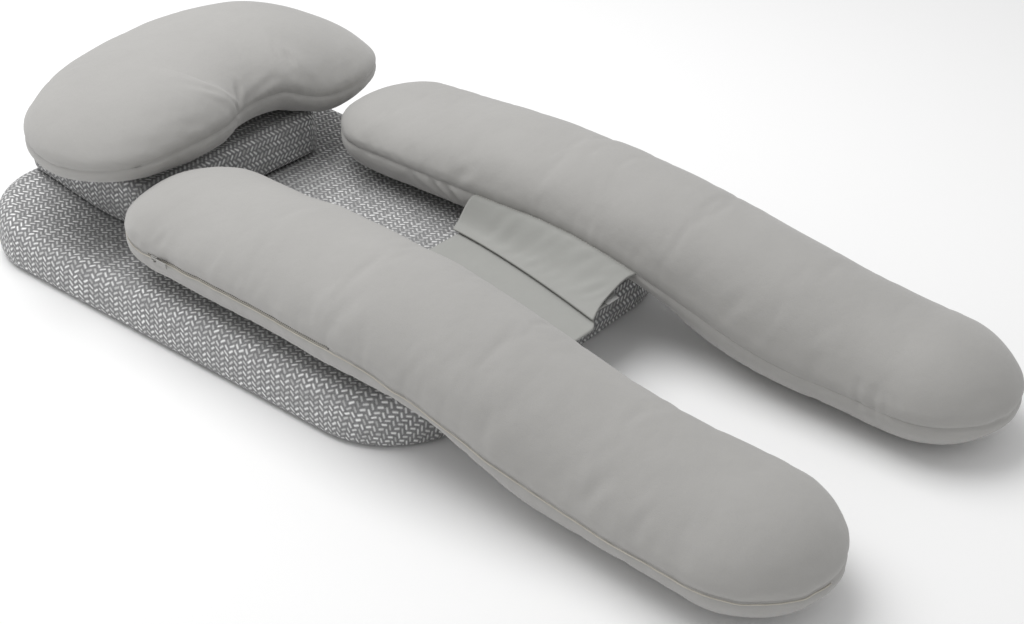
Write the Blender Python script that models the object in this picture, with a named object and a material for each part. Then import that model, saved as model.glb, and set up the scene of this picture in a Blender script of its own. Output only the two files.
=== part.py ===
"""Nursing pillow set: a contoured base, a headrest block, a kidney head pillow and two long bolsters.

The frame's origin is at the middle of the base's underside, on the floor.  +Y runs to the head end,
+X to the right of someone who stands at the foot end and looks at the head end, and +Z is up.
"""

import math

import bmesh
import bpy

# Cloth and clearances, in metres
GAP = 0.0003  # left between pieces that touch
KNIT = 0.0030  # spacer knit of the base and headrest covers
CLOTH = 0.0012  # brushed cloth of the bolsters and the head pillow
UNDERCLOTH = 0.0016  # underside cloth of the base and the headrest
TOUCH_TAPE = 0.0010  # one side of a hook-and-loop fastening
FLAP_THICKNESS = 0.0025  # two layers of cloth
PANEL_EDGE = 0.0004  # rounding of a flat panel's edge
TAPE_EDGE = 0.00025  # rounding of a tape's edge

# Base
BASE_WIDTH = 0.620
BASE_LENGTH = 0.900
BASE_CORNER = 0.130
BASE_EDGE = 0.026
BASE_HEIGHT = 0.074  # under the bolsters
BASE_DIP = 0.013  # depth of the hollow across the base
BASE_DIP_FROM_HEAD = 0.210
BASE_HEAD_RISE = 0.011  # how much the head edge stands above the level part
BASE_WAVE_FROM_HEAD = 0.430  # where the level part ends
BASE_ZIP_HEIGHT = 0.036
BASE_ZIP_LENGTH = 0.300

# Headrest block
HEADREST_WIDTH = 0.360
HEADREST_LENGTH = 0.280
HEADREST_CORNER = 0.045
HEADREST_EDGE = 0.016
HEADREST_THICKNESS = 0.066  # over the level part of the base
HEADREST_X = -0.010
HEADREST_FROM_HEAD = 0.010
HEADREST_ZIP_LENGTH = 0.240
HEADREST_TAPE_WIDTH = 0.050
HEADREST_TAPE_LENGTH = 0.200
HEADREST_TAPE_APART = 0.230
TAPE_CORNER = 0.004

# Head pillow: an oval section swept along an arc
PILLOW_ARC_RADIUS = 0.275
PILLOW_ARC_HALF_ANGLE = math.radians(67)
PILLOW_WIDTH = 0.300  # front to rear at the middle
PILLOW_CAP = 0.186  # length over which each end narrows
PILLOW_LOWER = 0.064  # headrest to seam
PILLOW_UPPER = 0.076  # seam to crown
PILLOW_X = 0.035
PILLOW_REAR_FROM_HEAD = 0.000
PILLOW_TURN = math.radians(4)
PILLOW_ZIP_HALF_ANGLE = math.radians(24)

# Bolsters
BOLSTER_WIDTH = 0.224
BOLSTER_LENGTH = 1.120
BOLSTER_FROM_NECK = 0.020  # from the head pillow's front edge to the bolsters' head ends
BOLSTER_SEAM_OVER_BASE = 0.063
BOLSTER_FOOT_SEAM = 0.068
BOLSTER_DROP = 0.170  # length over which the underside comes down from the base to the floor
BOLSTER_SEAM_LEVEL = 0.430  # from the head end, the seam is level this far
BOLSTER_SEAM_LOW = 0.950  # and from here on it runs at its foot height
BOLSTER_CROWN = (  # height of the crown over the seam, by distance from the head end
    (0.0, 0.058),
    (0.13, 0.060),
    (0.30, 0.0765),
    (0.52, 0.081),
    (0.66, 0.0905),
    (0.83, 0.0915),
    (1.0, 0.071),
    (1.12, 0.066),
)
LEFT_BOLSTER_X = -0.187
RIGHT_BOLSTER_X = 0.2165
LEFT_BOLSTER_TURN = math.radians(-1.3)
RIGHT_BOLSTER_TURN = math.radians(-1.1)
BOLSTER_ZIP_LENGTH = 0.340
BOLSTER_ZIP_FROM_HEAD = 0.125

# Flaps
FLAP_LENGTH = 0.300
FLAP_FROM_HEAD = 0.345  # from the bolster's head end to the flap's near edge
FLAP_KNEE = 0.026  # across the sloping part beside the bolster
LEFT_FLAP_REACH = 0.150  # from the bolster's side to the flap's free edge
RIGHT_FLAP_REACH_HEAD = 0.038
RIGHT_FLAP_REACH_FOOT = 0.098
FLAP_BELOW_SEAM = 0.010  # from the level seam to the flap's root
FLAP_OVER_BASE = 0.019  # height of the lower flap over the base
FLAP_TAPE_LENGTH = 0.150
FLAP_TAPE_FROM_FOOT = 0.020
LOOP_TAPE_WIDTH = 0.024
HOOK_TAPE_WIDTH = 0.022

# Zip, shared by all the covers
CHAIN_HEIGHT = 0.0100
CHAIN_DEPTH = 0.0016
SLIDER_LENGTH = 0.0120
SLIDER_WIDTH = 0.0085
SLIDER_DEPTH = 0.0022
ARCH_INSIDE = 0.0029
ARCH_BAR = 0.0012
ARCH_WIDTH = 0.0024
ARCH_LENGTH = 0.0068
PULLER_LENGTH = 0.0270
PULLER_WIDTH = 0.0072
PULLER_DEPTH = 0.0014
PULLER_EYE_BAR = 0.0018
PULLER_EYE_LENGTH = 0.0062
PULLER_EYE_WIDTH = 0.0034

# Shape of a cushion's section: 1 is an ellipse, and less is squarer
ROUND_BELOW = 0.62
ROUND_ABOVE = 0.90

# Facets
SHARP = math.radians(40)  # edges sharper than this are shaded as edges
TIP_TURN = math.radians(6)  # where a cushion's first section stands on its end's quarter circle
ARC_ZIP_STEPS = 16
CORNER_STEPS = 6
EDGE_STEPS = 3
WAVE_STEP = 0.030
ROUND_STEPS = 8  # over half a section
CAP_STEPS = 4
BOLSTER_STEPS = 14
PILLOW_STEPS = 12

# Places that follow from the sizes above
BASE_FLOOR = UNDERCLOTH + GAP
HEAD_Y = BASE_LENGTH / 2
WAVE_Y = HEAD_Y - BASE_WAVE_FROM_HEAD
DIP_Y = HEAD_Y - BASE_DIP_FROM_HEAD
HEADREST_Y = HEAD_Y - HEADREST_FROM_HEAD - HEADREST_LENGTH / 2
HEADREST_LIFT = 3 * GAP + 2 * TOUCH_TAPE  # room for the two tapes under the headrest
HEADREST_TOP = BASE_HEIGHT + HEADREST_THICKNESS
PILLOW_SEAM = HEADREST_TOP + GAP + PILLOW_LOWER
PILLOW_OUTSIDE = PILLOW_ARC_RADIUS + PILLOW_WIDTH / 2
PILLOW_Y = HEAD_Y - PILLOW_REAR_FROM_HEAD - PILLOW_OUTSIDE
BOLSTER_HALF = BOLSTER_WIDTH / 2
BOLSTER_PAST_MIDDLE = PILLOW_Y + PILLOW_ARC_RADIUS - PILLOW_WIDTH / 2 - BOLSTER_FROM_NECK
BOLSTER_SEAM = BASE_HEIGHT + GAP + BOLSTER_SEAM_OVER_BASE
CHAIN_OUT = GAP + CHAIN_DEPTH  # from a cover's face to the chain's outer face
HINGE_OUT = CHAIN_OUT + GAP + SLIDER_DEPTH + ARCH_INSIDE / 2  # from a cover's face to the puller's hinge


# ------------------------------------------------------------------ small geometry helpers
def smooth_step(value):
    """0 below 0, 1 above 1, and an even ramp between."""
    value = min(max(value, 0.0), 1.0)
    return value * value * (3 - 2 * value)


def curve_through(points, at):
    """A smooth curve through (place, value) points, read at one place."""
    at = min(max(at, points[0][0]), points[-1][0])
    for i in range(len(points) - 1):
        if at <= points[i + 1][0]:
            break
    (a, fa), (b, fb) = points[i], points[i + 1]

    def slope(j):
        low, high = points[max(j - 1, 0)], points[min(j + 1, len(points) - 1)]
        return (high[1] - low[1]) / (high[0] - low[0])

    u = (at - a) / (b - a)
    span = b - a
    return (
        (2 * u**3 - 3 * u**2 + 1) * fa
        + (u**3 - 2 * u**2 + u) * span * slope(i)
        + (3 * u**2 - 2 * u**3) * fb
        + (u**3 - u**2) * span * slope(i + 1)
    )


def base_top(y):
    """Height of the base's contoured top."""
    hollow = smooth_step((y - WAVE_Y) / (DIP_Y - WAVE_Y)) * BASE_DIP
    rise = smooth_step((y - DIP_Y) / (HEAD_Y - DIP_Y)) * (BASE_DIP + BASE_HEAD_RISE)
    return BASE_HEIGHT - hollow + rise


def material(name, colour, roughness, metallic=0.0):
    """A plain Principled material."""
    made = bpy.data.materials.new(name)
    made.use_nodes = True
    shader = made.node_tree.nodes["Principled BSDF"]
    shader.inputs["Base Color"].default_value = (*colour, 1.0)
    shader.inputs["Roughness"].default_value = roughness
    shader.inputs["Metallic"].default_value = metallic
    return made


def mesh_from(name, points, faces):
    """A mesh with its faces pointing out."""
    made = bmesh.new()
    corners = [made.verts.new(p) for p in points]
    for face in faces:
        made.faces.new([corners[i] for i in face])
    bmesh.ops.recalc_face_normals(made, faces=made.faces)
    mesh = bpy.data.meshes.new(name)
    made.to_mesh(mesh)
    made.free()
    mesh.shade_smooth()
    mesh.set_sharp_from_angle(angle=SHARP)
    return mesh


def add(name, mesh, finish, parent=None, place=(0, 0, 0), turn=0.0):
    """Puts a mesh in the scene as one named sub-part, turned about Z."""
    obj = bpy.data.objects.new(name, mesh)
    bpy.context.scene.collection.objects.link(obj)
    obj.data.materials.append(finish)
    obj.parent = parent
    obj.location = place
    obj.rotation_euler[2] = turn
    return obj


def frame_at(name, place, turn=0.0, parent=None):
    """An empty that carries the pieces of one module, or of one joint."""
    empty = bpy.data.objects.new(name, None)
    bpy.context.scene.collection.objects.link(empty)
    empty.location = place
    empty.rotation_euler[2] = turn
    empty.parent = parent
    return empty


# ------------------------------------------------------------------ slabs with a waved top
def side_points(width, length, corner, inset, stops):
    """Half of a rounded rectangle, from its rear edge down its right side to its front edge."""
    radius = corner - inset
    x = width / 2 - corner
    y = length / 2 - corner
    quarter = [math.pi / 2 * (1 - k / CORNER_STEPS) for k in range(CORNER_STEPS + 1)]
    rear = [(x + radius * math.cos(a), y + radius * math.sin(a)) for a in quarter]
    middle = [(x + radius, stop) for stop in stops if -y + 0.004 < stop < y - 0.004]
    front = [(px, -py) for px, py in reversed(rear)]
    return rear + middle + front


def slab_rings(size, edge, low, high, inset=0.0):
    """Rings from the foot of the wall, over the rounded top edge, to the rim of the top face."""
    width, length, corner, stops = size
    rings = []
    steps = [(0.0, None)] + [(edge * (1 - math.cos(a)), edge * (1 - math.sin(a))) for a in edge_angles()]
    for inward, drop in steps:
        half = side_points(width, length, corner, inset + inward, stops)
        outline = half + [(-x, y) for x, y in reversed(half)]
        rings.append([(x, y, low(y) if drop is None else high(y) - drop) for x, y in outline])
    return rings


def edge_angles():
    return [math.pi / 2 * k / EDGE_STEPS for k in range(EDGE_STEPS + 1)]


def skin(rings):
    """Points and faces of a closed body through the rings, whose two ends are filled by rungs."""
    count = len(rings[0])
    points = [p for ring in rings for p in ring]
    faces = []
    for r in range(len(rings) - 1):
        for i in range(count):
            j = (i + 1) % count
            faces.append((r * count + i, r * count + j, (r + 1) * count + j, (r + 1) * count + i))
    for start in (0, (len(rings) - 1) * count):
        for i in range(count // 2 - 1):
            faces.append((start + i, start + i + 1, start + count - 2 - i, start + count - 1 - i))
    return points, faces


def slab(name, size, edge, low, high, inset=0.0):
    """A solid block whose underside and top follow two height functions of y."""
    return mesh_from(name, *skin(slab_rings(size, edge, low, high, inset)))


def slab_cover(name, size, edge, low, high, thick):
    """The cloth over the walls and top of such a block, open underneath."""
    outer = slab_rings(size, edge, low, high)
    inner = slab_rings(size, edge - thick, low, lambda y: high(y) - thick, thick)
    return mesh_from(name, *skin(inner[::-1] + outer))


def wave_stops(centre, length):
    """Where a slab's sides are divided, so that it follows the base's wave."""
    count = int(round((HEAD_Y - WAVE_Y) / WAVE_STEP))
    stops = [HEAD_Y - WAVE_STEP * k - centre for k in range(count + 1)]
    return [s for s in stops if abs(s) < length / 2]


# ------------------------------------------------------------------ stuffed cushions
class Cushion:
    """A swept oval cushion: its sections lie across a centre line, and it narrows to both ends."""

    def __init__(self, length, cap, steps, half_width, seam, lower, upper, spot):
        self.length, self.cap, self.steps = length, cap, steps
        self.half_width, self.seam = half_width, seam
        self.lower, self.upper, self.spot = lower, upper, spot

    def stations(self, inset):
        """(distance from one end, fullness) of each section."""
        turns = [math.pi / 2 * k / CAP_STEPS for k in range(1, CAP_STEPS + 1)]
        near = [(self.cap * (1 - math.cos(a)), math.sin(a)) for a in [TIP_TURN, *turns]]
        straight = self.length - 2 * self.cap
        middle = [(self.cap + straight * k / self.steps, 1.0) for k in range(1, self.steps)]
        far = [(self.length - t, full) for t, full in reversed(near)]
        squeeze = 1 - 2 * inset / self.length
        return [(inset + t * squeeze, full) for t, full in near + middle + far]

    def arc(self, t, full, inset, below, lift):
        """Points over half a section: above the seam, or below it."""
        wide = (self.half_width - inset) * full
        tall = ((self.lower if below else self.upper)(t) - inset) * full
        points = []
        for k in range(ROUND_STEPS + 1):
            a = math.pi * k / ROUND_STEPS
            up = math.sin(a) ** (ROUND_BELOW if below else ROUND_ABOVE)
            z = self.seam(t) + (-1 if below else 1) * (lift + up * tall)
            points.append(self.spot(t, wide * math.cos(a), z))
        return points

    def panel(self, name, below):
        """Half of the cover, as cloth: an open shell above or below the seam."""
        outer = [self.arc(t, full, 0.0, below, GAP / 2) for t, full in self.stations(0.0)]
        inner = [self.arc(t, full, CLOTH, below, GAP / 2) for t, full in self.stations(CLOTH)]
        rows = len(outer)
        points = [p for arc in outer + inner for p in arc]

        def at(layer, i, j):
            return (layer * rows + i) * (ROUND_STEPS + 1) + j

        faces = []
        for layer in (0, 1):
            faces += self.half_faces(rows, lambda i, j: at(layer, i, j))
        for i in range(rows - 1):
            for j in (0, ROUND_STEPS):
                faces.append((at(0, i, j), at(0, i + 1, j), at(1, i + 1, j), at(1, i, j)))
        for i in (0, rows - 1):
            faces.append((at(0, i, 0), at(0, i, ROUND_STEPS), at(1, i, ROUND_STEPS), at(1, i, 0)))
        return mesh_from(name, points, faces)

    @staticmethod
    def half_faces(rows, at):
        """The faces of one half, always split along the same diagonal, and its two end faces."""
        faces = []
        for i in range(rows - 1):
            for j in range(ROUND_STEPS):
                faces.append((at(i, j), at(i, j + 1), at(i + 1, j + 1)))
                faces.append((at(i, j), at(i + 1, j + 1), at(i + 1, j)))
        for i in (0, rows - 1):
            faces.append([at(i, j) for j in range(ROUND_STEPS + 1)])
        return faces

    def filling(self, name):
        """The stuffed inner cushion, just inside the cover."""
        inset = CLOTH + GAP
        points = []
        stations = self.stations(inset)
        for t, full in stations:
            points += self.arc(t, full, inset, False, 0.0)
            points += self.arc(t, full, inset, True, 0.0)[1:-1]

        def over(i, j):
            return i * 2 * ROUND_STEPS + j

        def under(i, j):
            return over(i, j) if j in (0, ROUND_STEPS) else over(i, ROUND_STEPS) + j

        faces = self.half_faces(len(stations), over) + self.half_faces(len(stations), under)
        return mesh_from(name, points, faces)


def bolster_cushion():
    """One bolster in its own frame: x across it, y as in the whole set, z above the floor."""
    front = -BASE_LENGTH / 2
    high_y = BOLSTER_PAST_MIDDLE - BOLSTER_SEAM_LEVEL
    low_y = BOLSTER_PAST_MIDDLE - BOLSTER_SEAM_LOW

    def y_at(t):
        return BOLSTER_PAST_MIDDLE - t

    def rest(t):
        """What the underside lies on: the base, and past its front edge the floor."""
        return GAP + BASE_HEIGHT * smooth_step(1 - (front - GAP - y_at(t)) / BOLSTER_DROP)

    def seam(t):
        on_base = smooth_step((y_at(t) - low_y) / (high_y - low_y))
        return BOLSTER_FOOT_SEAM + (BOLSTER_SEAM - BOLSTER_FOOT_SEAM) * on_base

    return Cushion(
        BOLSTER_LENGTH,
        BOLSTER_HALF,
        BOLSTER_STEPS,
        BOLSTER_HALF,
        seam,
        lambda t: seam(t) - rest(t) - GAP,
        lambda t: curve_through(BOLSTER_CROWN, t),
        lambda t, across, z: (across, y_at(t), z),
    )


def pillow_cushion():
    """The head pillow in its own frame, whose origin is the centre of its arc."""
    sweep = PILLOW_ARC_RADIUS * PILLOW_ARC_HALF_ANGLE

    def spot(t, across, z):
        angle = (t - sweep) / PILLOW_ARC_RADIUS
        radius = PILLOW_ARC_RADIUS + across
        return (radius * math.sin(angle), radius * math.cos(angle), z)

    return Cushion(
        2 * sweep,
        PILLOW_CAP,
        PILLOW_STEPS,
        PILLOW_WIDTH / 2,
        lambda t: PILLOW_SEAM,
        lambda t: PILLOW_LOWER - GAP,
        lambda t: PILLOW_UPPER,
        spot,
    )


# ------------------------------------------------------------------ zips
def box(name, low, high):
    corners = [(x, y, z) for x in (low[0], high[0]) for y in (low[1], high[1]) for z in (low[2], high[2])]
    faces = [(0, 1, 3, 2), (4, 6, 7, 5), (0, 4, 5, 1), (2, 3, 7, 6), (0, 2, 6, 4), (1, 5, 7, 3)]
    return mesh_from(name, corners, faces)


def window_plate(name, outer, inner, depth, axis):
    """A flat rectangular plate with a rectangular window, its thickness along one axis (1 is y, 2 is z)."""

    def corners(low, high):
        return [(low[0], low[1]), (high[0], low[1]), (high[0], high[1]), (low[0], high[1])]

    def raised(x, w, level):
        return (x, level, w) if axis == 1 else (x, w, level)

    points = []
    for level in (-depth / 2, depth / 2):
        for rect in (outer, inner):
            points += [raised(x, w, level) for x, w in corners(*rect)]
    faces = []
    for i in range(4):
        j = (i + 1) % 4
        faces += [(i, j, 4 + j, 4 + i), (8 + i, 8 + j, 12 + j, 12 + i)]
        faces += [(i, j, 8 + j, 8 + i), (4 + i, 4 + j, 12 + j, 12 + i)]
    return mesh_from(name, points, faces)


def joined(name, first, second):
    """The union of two meshes, as one mesh."""
    body = bpy.data.objects.new(name + "_body", first)
    tool = bpy.data.objects.new(name + "_tool", second)
    for obj in (body, tool):
        bpy.context.scene.collection.objects.link(obj)
    union = body.modifiers.new("union", "BOOLEAN")
    union.operation = "UNION"
    union.object = tool
    bpy.context.view_layer.update()
    result = bpy.data.meshes.new_from_object(body.evaluated_get(bpy.context.evaluated_depsgraph_get()))
    for obj in (body, tool):
        bpy.data.objects.remove(obj)
    return result


def slider_mesh():
    """The slider: a plate on the teeth with an arch for the puller.  Its origin is the puller's hinge."""
    face = -ARCH_INSIDE / 2
    half, wide = SLIDER_LENGTH / 2, SLIDER_WIDTH / 2
    plate = box("slider_plate", (-half, face - SLIDER_DEPTH, -wide), (half, face, wide))
    bar = ARCH_BAR
    foot = face - bar
    top = -face + bar
    outer = ((-ARCH_LENGTH / 2, foot), (ARCH_LENGTH / 2, top))
    inner = ((-ARCH_LENGTH / 2 + bar, face - bar / 2), (ARCH_LENGTH / 2 - bar, -face))
    arch = window_plate("slider_arch", outer, inner, ARCH_WIDTH, 2)
    return joined("zip_slider", plate, arch)


def puller_mesh():
    """The puller: a tab whose eye passes round the slider's arch.  Its origin is the hinge."""
    bar = PULLER_EYE_BAR / 2
    outer = ((-bar, -PULLER_WIDTH / 2), (PULLER_LENGTH, PULLER_WIDTH / 2))
    inner = ((bar, -PULLER_EYE_WIDTH / 2), (bar + PULLER_EYE_LENGTH, PULLER_EYE_WIDTH / 2))
    return window_plate("zip_puller", outer, inner, PULLER_DEPTH, 1)


def straight_zip(owner, parent, middle, turn, length, start, lie, finishes, meshes):
    """A zip on a flat wall.

    In its frame x runs along the teeth, y points out of the wall and the wall is y = 0.  The slider
    stands at start, and its puller lies along +x or -x.
    """
    frame = frame_at(owner + "_zip_frame", middle, turn, parent)
    half = CHAIN_HEIGHT / 2
    chain = box(owner + "_zip_chain", (-length / 2, GAP, -half), (length / 2, CHAIN_OUT, half))
    add(owner + "_zip_chain", chain, finishes["zip"], frame)
    hinge = (start, HINGE_OUT, 0)
    add(owner + "_zip_slider", meshes["slider"], finishes["metal"], frame, hinge)
    back = 0.0 if lie > 0 else math.pi
    add(owner + "_zip_puller", meshes["puller"], finishes["metal"], frame, hinge, back)


def arc_zip(owner, parent, finishes, meshes):
    """The head pillow's zip, along its rear arc.  Its slider turns about the arc's centre."""
    points = []
    for k in range(ARC_ZIP_STEPS + 1):
        angle = PILLOW_ZIP_HALF_ANGLE * (2 * k / ARC_ZIP_STEPS - 1)
        for radius in (PILLOW_OUTSIDE + GAP, PILLOW_OUTSIDE + CHAIN_OUT):
            for level in (-CHAIN_HEIGHT / 2, CHAIN_HEIGHT / 2):
                points.append((radius * math.sin(angle), radius * math.cos(angle), PILLOW_SEAM + level))
    faces = [(0, 1, 3, 2), tuple(ARC_ZIP_STEPS * 4 + i for i in (0, 2, 3, 1))]
    for k in range(ARC_ZIP_STEPS):
        for a, b in ((0, 1), (1, 3), (3, 2), (2, 0)):
            faces.append((4 * k + a, 4 * k + b, 4 * k + 4 + b, 4 * k + 4 + a))
    add(owner + "_zip_chain", mesh_from(owner + "_zip_chain", points, faces), finishes["zip"], parent)
    angle = PILLOW_ZIP_HALF_ANGLE - 2 * SLIDER_LENGTH / PILLOW_OUTSIDE
    radius = PILLOW_OUTSIDE + HINGE_OUT + GAP
    hinge = (-radius * math.sin(angle), radius * math.cos(angle), PILLOW_SEAM)
    add(owner + "_zip_slider", meshes["slider"], finishes["metal"], parent, hinge, angle)
    add(owner + "_zip_puller", meshes["puller"], finishes["metal"], parent, hinge, angle)


# ------------------------------------------------------------------ modules
def make_base(finishes, meshes):
    stops = wave_stops(0.0, BASE_LENGTH)
    size = (BASE_WIDTH, BASE_LENGTH, BASE_CORNER, stops)
    flat = (BASE_WIDTH, BASE_LENGTH, BASE_CORNER, ())

    def floor(y):
        return BASE_FLOOR

    inset = KNIT + GAP
    core = slab("base_foam_core", size, BASE_EDGE - inset, floor, lambda y: base_top(y) - inset, inset)
    add("base_foam_core", core, finishes["foam"])
    cover = slab_cover("base_knit_cover", size, BASE_EDGE, floor, base_top, KNIT)
    add("base_knit_cover", cover, finishes["knit"])
    panel = slab("base_grip_panel", flat, PANEL_EDGE, lambda y: 0.0, lambda y: UNDERCLOTH)
    add("base_grip_panel", panel, finishes["undercloth"])
    middle = (0, HEAD_Y, BASE_ZIP_HEIGHT)
    start = -BASE_ZIP_LENGTH / 2 + SLIDER_LENGTH
    straight_zip("base", None, middle, 0.0, BASE_ZIP_LENGTH, start, 1, finishes, meshes)


def make_headrest(finishes, meshes):
    frame = frame_at("headrest_frame", (HEADREST_X, HEADREST_Y, 0))
    stops = wave_stops(HEADREST_Y, HEADREST_LENGTH)
    size = (HEADREST_WIDTH, HEADREST_LENGTH, HEADREST_CORNER, stops)
    tape = (HEADREST_TAPE_WIDTH, HEADREST_TAPE_LENGTH, TAPE_CORNER, stops)

    def over_base(y, lift):
        return base_top(y + HEADREST_Y) + lift

    for side, x in (("left", -HEADREST_TAPE_APART / 2), ("right", HEADREST_TAPE_APART / 2)):
        for kind, lift in (("loop", GAP), ("hook", 2 * GAP + TOUCH_TAPE)):
            owner = "base" if kind == "loop" else "headrest"
            name = f"{owner}_{kind}_tape_{side}"
            strip = slab(
                name,
                tape,
                TAPE_EDGE,
                lambda y: over_base(y, lift),
                lambda y: over_base(y, lift + TOUCH_TAPE),
            )
            add(name, strip, finishes["touch_tape"], frame, (x, 0, 0))
    panel = slab(
        "headrest_bottom_panel",
        size,
        PANEL_EDGE,
        lambda y: over_base(y, HEADREST_LIFT),
        lambda y: over_base(y, HEADREST_LIFT + UNDERCLOTH),
    )
    add("headrest_bottom_panel", panel, finishes["undercloth"], frame)
    inset = KNIT + GAP

    def floor(y):
        return over_base(y, HEADREST_LIFT + UNDERCLOTH + GAP)

    core = slab("headrest_foam_core", size, HEADREST_EDGE - inset, floor, lambda y: HEADREST_TOP - inset, inset)
    add("headrest_foam_core", core, finishes["foam"], frame)
    cover = slab_cover("headrest_knit_cover", size, HEADREST_EDGE, floor, lambda y: HEADREST_TOP, KNIT)
    add("headrest_knit_cover", cover, finishes["knit"], frame)
    height = (base_top(HEADREST_Y + HEADREST_LENGTH / 2) + HEADREST_LIFT + HEADREST_TOP - HEADREST_EDGE) / 2
    start = -HEADREST_ZIP_LENGTH / 2 + SLIDER_LENGTH
    middle = (0, HEADREST_LENGTH / 2, height)
    straight_zip("headrest", frame, middle, 0.0, HEADREST_ZIP_LENGTH, start, 1, finishes, meshes)


def make_pillow(finishes, meshes):
    frame = frame_at("head_pillow_frame", (PILLOW_X, PILLOW_Y, 0), PILLOW_TURN)
    cushion = pillow_cushion()
    add("head_pillow_inner_cushion", cushion.filling("head_pillow_inner_cushion"), finishes["liner"], frame)
    add("head_pillow_upper_panel", cushion.panel("head_pillow_upper_panel", False), finishes["cloth"], frame)
    add("head_pillow_lower_panel", cushion.panel("head_pillow_lower_panel", True), finishes["cloth"], frame)
    arc_zip("head_pillow", frame, finishes, meshes)


def strip_from(name, across, low, high, ends, slant=0.0):
    """A cloth strip along y: its section has an underside and a top level at each point across it.

    The free edge lies further out by slant at the second end.
    """
    count = len(across)
    points = []
    for y, extra in ((ends[0], 0.0), (ends[1], slant)):
        for levels in (low, high):
            for i in range(count):
                reach = across[i] + (extra if i == count - 1 else 0.0)
                points.append((reach, y, levels[i]))
    faces = []
    for i in range(count - 1):
        faces += [(i, i + 1, 2 * count + i + 1, 2 * count + i)]
        faces += [(count + i, count + i + 1, 3 * count + i + 1, 3 * count + i)]
        faces += [(i, i + 1, count + i + 1, count + i)]
        faces += [(2 * count + i, 2 * count + i + 1, 3 * count + i + 1, 3 * count + i)]
    for i in (0, count - 1):
        faces.append((i, count + i, 3 * count + i, 2 * count + i))
    return mesh_from(name, points, faces)


def make_flap(side, frame, inward, finishes):
    """The flap sewn to a bolster's inner side.  The right flap lies on the left one."""
    left = side == "left"
    root = BOLSTER_HALF + GAP + FLAP_THICKNESS / 2
    root_height = BOLSTER_SEAM - FLAP_BELOW_SEAM
    middle = BOLSTER_PAST_MIDDLE - FLAP_FROM_HEAD - FLAP_LENGTH / 2
    joint = frame_at(f"{side}_flap_joint", (inward * root, middle, root_height), 0.0, frame)
    lower_flat = BASE_HEIGHT + FLAP_OVER_BASE - root_height
    upper_flat = lower_flat + FLAP_THICKNESS + 2 * TOUCH_TAPE + 3 * GAP
    flat = lower_flat if left else upper_flat
    reach = LEFT_FLAP_REACH if left else RIGHT_FLAP_REACH_HEAD
    slant = 0.0 if left else RIGHT_FLAP_REACH_FOOT - RIGHT_FLAP_REACH_HEAD
    half = FLAP_THICKNESS / 2
    across = [inward * d for d in (-0.9 * half, 0.0, FLAP_KNEE, reach)]
    low = [-half / 3, -half, flat, flat]
    high = [half / 3, half, flat + FLAP_THICKNESS, flat + FLAP_THICKNESS]
    ends = (FLAP_LENGTH / 2, -FLAP_LENGTH / 2)
    flap = strip_from(f"{side}_flap", across, low, high, ends, inward * slant)
    add(f"{side}_flap", flap, finishes["flap"], joint)
    name = f"{side}_flap_loop_tape" if left else f"{side}_flap_hook_tape"
    tape_flat = flat + FLAP_THICKNESS + GAP if left else flat - GAP - TOUCH_TAPE
    width = LOOP_TAPE_WIDTH if left else HOOK_TAPE_WIDTH
    tape_edge = reach if left else FLAP_KNEE + HOOK_TAPE_WIDTH
    tape_foot = -FLAP_LENGTH / 2 + FLAP_TAPE_FROM_FOOT
    tape = strip_from(
        name,
        [inward * (tape_edge - width), inward * tape_edge],
        [tape_flat, tape_flat],
        [tape_flat + TOUCH_TAPE] * 2,
        (tape_foot + FLAP_TAPE_LENGTH, tape_foot),
    )
    add(name, tape, finishes["touch_tape"], joint)


def make_bolster(side, x, turn, finishes, meshes):
    """One bolster with its cover, zip and flap."""
    frame = frame_at(f"{side}_bolster_frame", (x, 0, 0), turn)
    inward = 1 if side == "left" else -1
    cushion = bolster_cushion()
    name = f"{side}_bolster"
    add(f"{name}_inner_cushion", cushion.filling(f"{name}_inner_cushion"), finishes["liner"], frame)
    add(f"{name}_upper_panel", cushion.panel(f"{name}_upper_panel", False), finishes["cloth"], frame)
    add(f"{name}_lower_panel", cushion.panel(f"{name}_lower_panel", True), finishes["cloth"], frame)
    zip_y = BOLSTER_PAST_MIDDLE - BOLSTER_ZIP_FROM_HEAD - BOLSTER_ZIP_LENGTH / 2
    middle = (-inward * BOLSTER_HALF, zip_y, BOLSTER_SEAM)
    start = (BOLSTER_ZIP_LENGTH / 2 - SLIDER_LENGTH) * inward
    zip_turn = inward * math.pi / 2
    straight_zip(name, frame, middle, zip_turn, BOLSTER_ZIP_LENGTH, start, -inward, finishes, meshes)
    make_flap(side, frame, inward, finishes)


def clear_scene():
    for obj in list(bpy.data.objects):
        bpy.data.objects.remove(obj, do_unlink=True)


def make_finishes():
    return {
        "knit": material("herringbone_knit", (0.20, 0.20, 0.205), 0.85),
        "cloth": material("brushed_cloth", (0.42, 0.42, 0.41), 0.9),
        "flap": material("flap_cloth", (0.38, 0.385, 0.375), 0.9),
        "foam": material("foam", (0.85, 0.83, 0.72), 0.95),
        "liner": material("inner_liner", (0.88, 0.88, 0.86), 0.95),
        "undercloth": material("grip_undercloth", (0.12, 0.12, 0.125), 0.9),
        "touch_tape": material("touch_tape", (0.33, 0.33, 0.32), 0.95),
        "zip": material("zip_chain", (0.30, 0.30, 0.29), 0.6),
        "metal": material("zip_metal", (0.55, 0.55, 0.54), 0.35, 1.0),
    }


def main():
    clear_scene()
    finishes = make_finishes()
    meshes = {"slider": slider_mesh(), "puller": puller_mesh()}
    make_base(finishes, meshes)
    make_headrest(finishes, meshes)
    make_pillow(finishes, meshes)
    make_bolster("left", LEFT_BOLSTER_X, LEFT_BOLSTER_TURN, finishes, meshes)
    make_bolster("right", RIGHT_BOLSTER_X, RIGHT_BOLSTER_TURN, finishes, meshes)


main()
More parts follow.
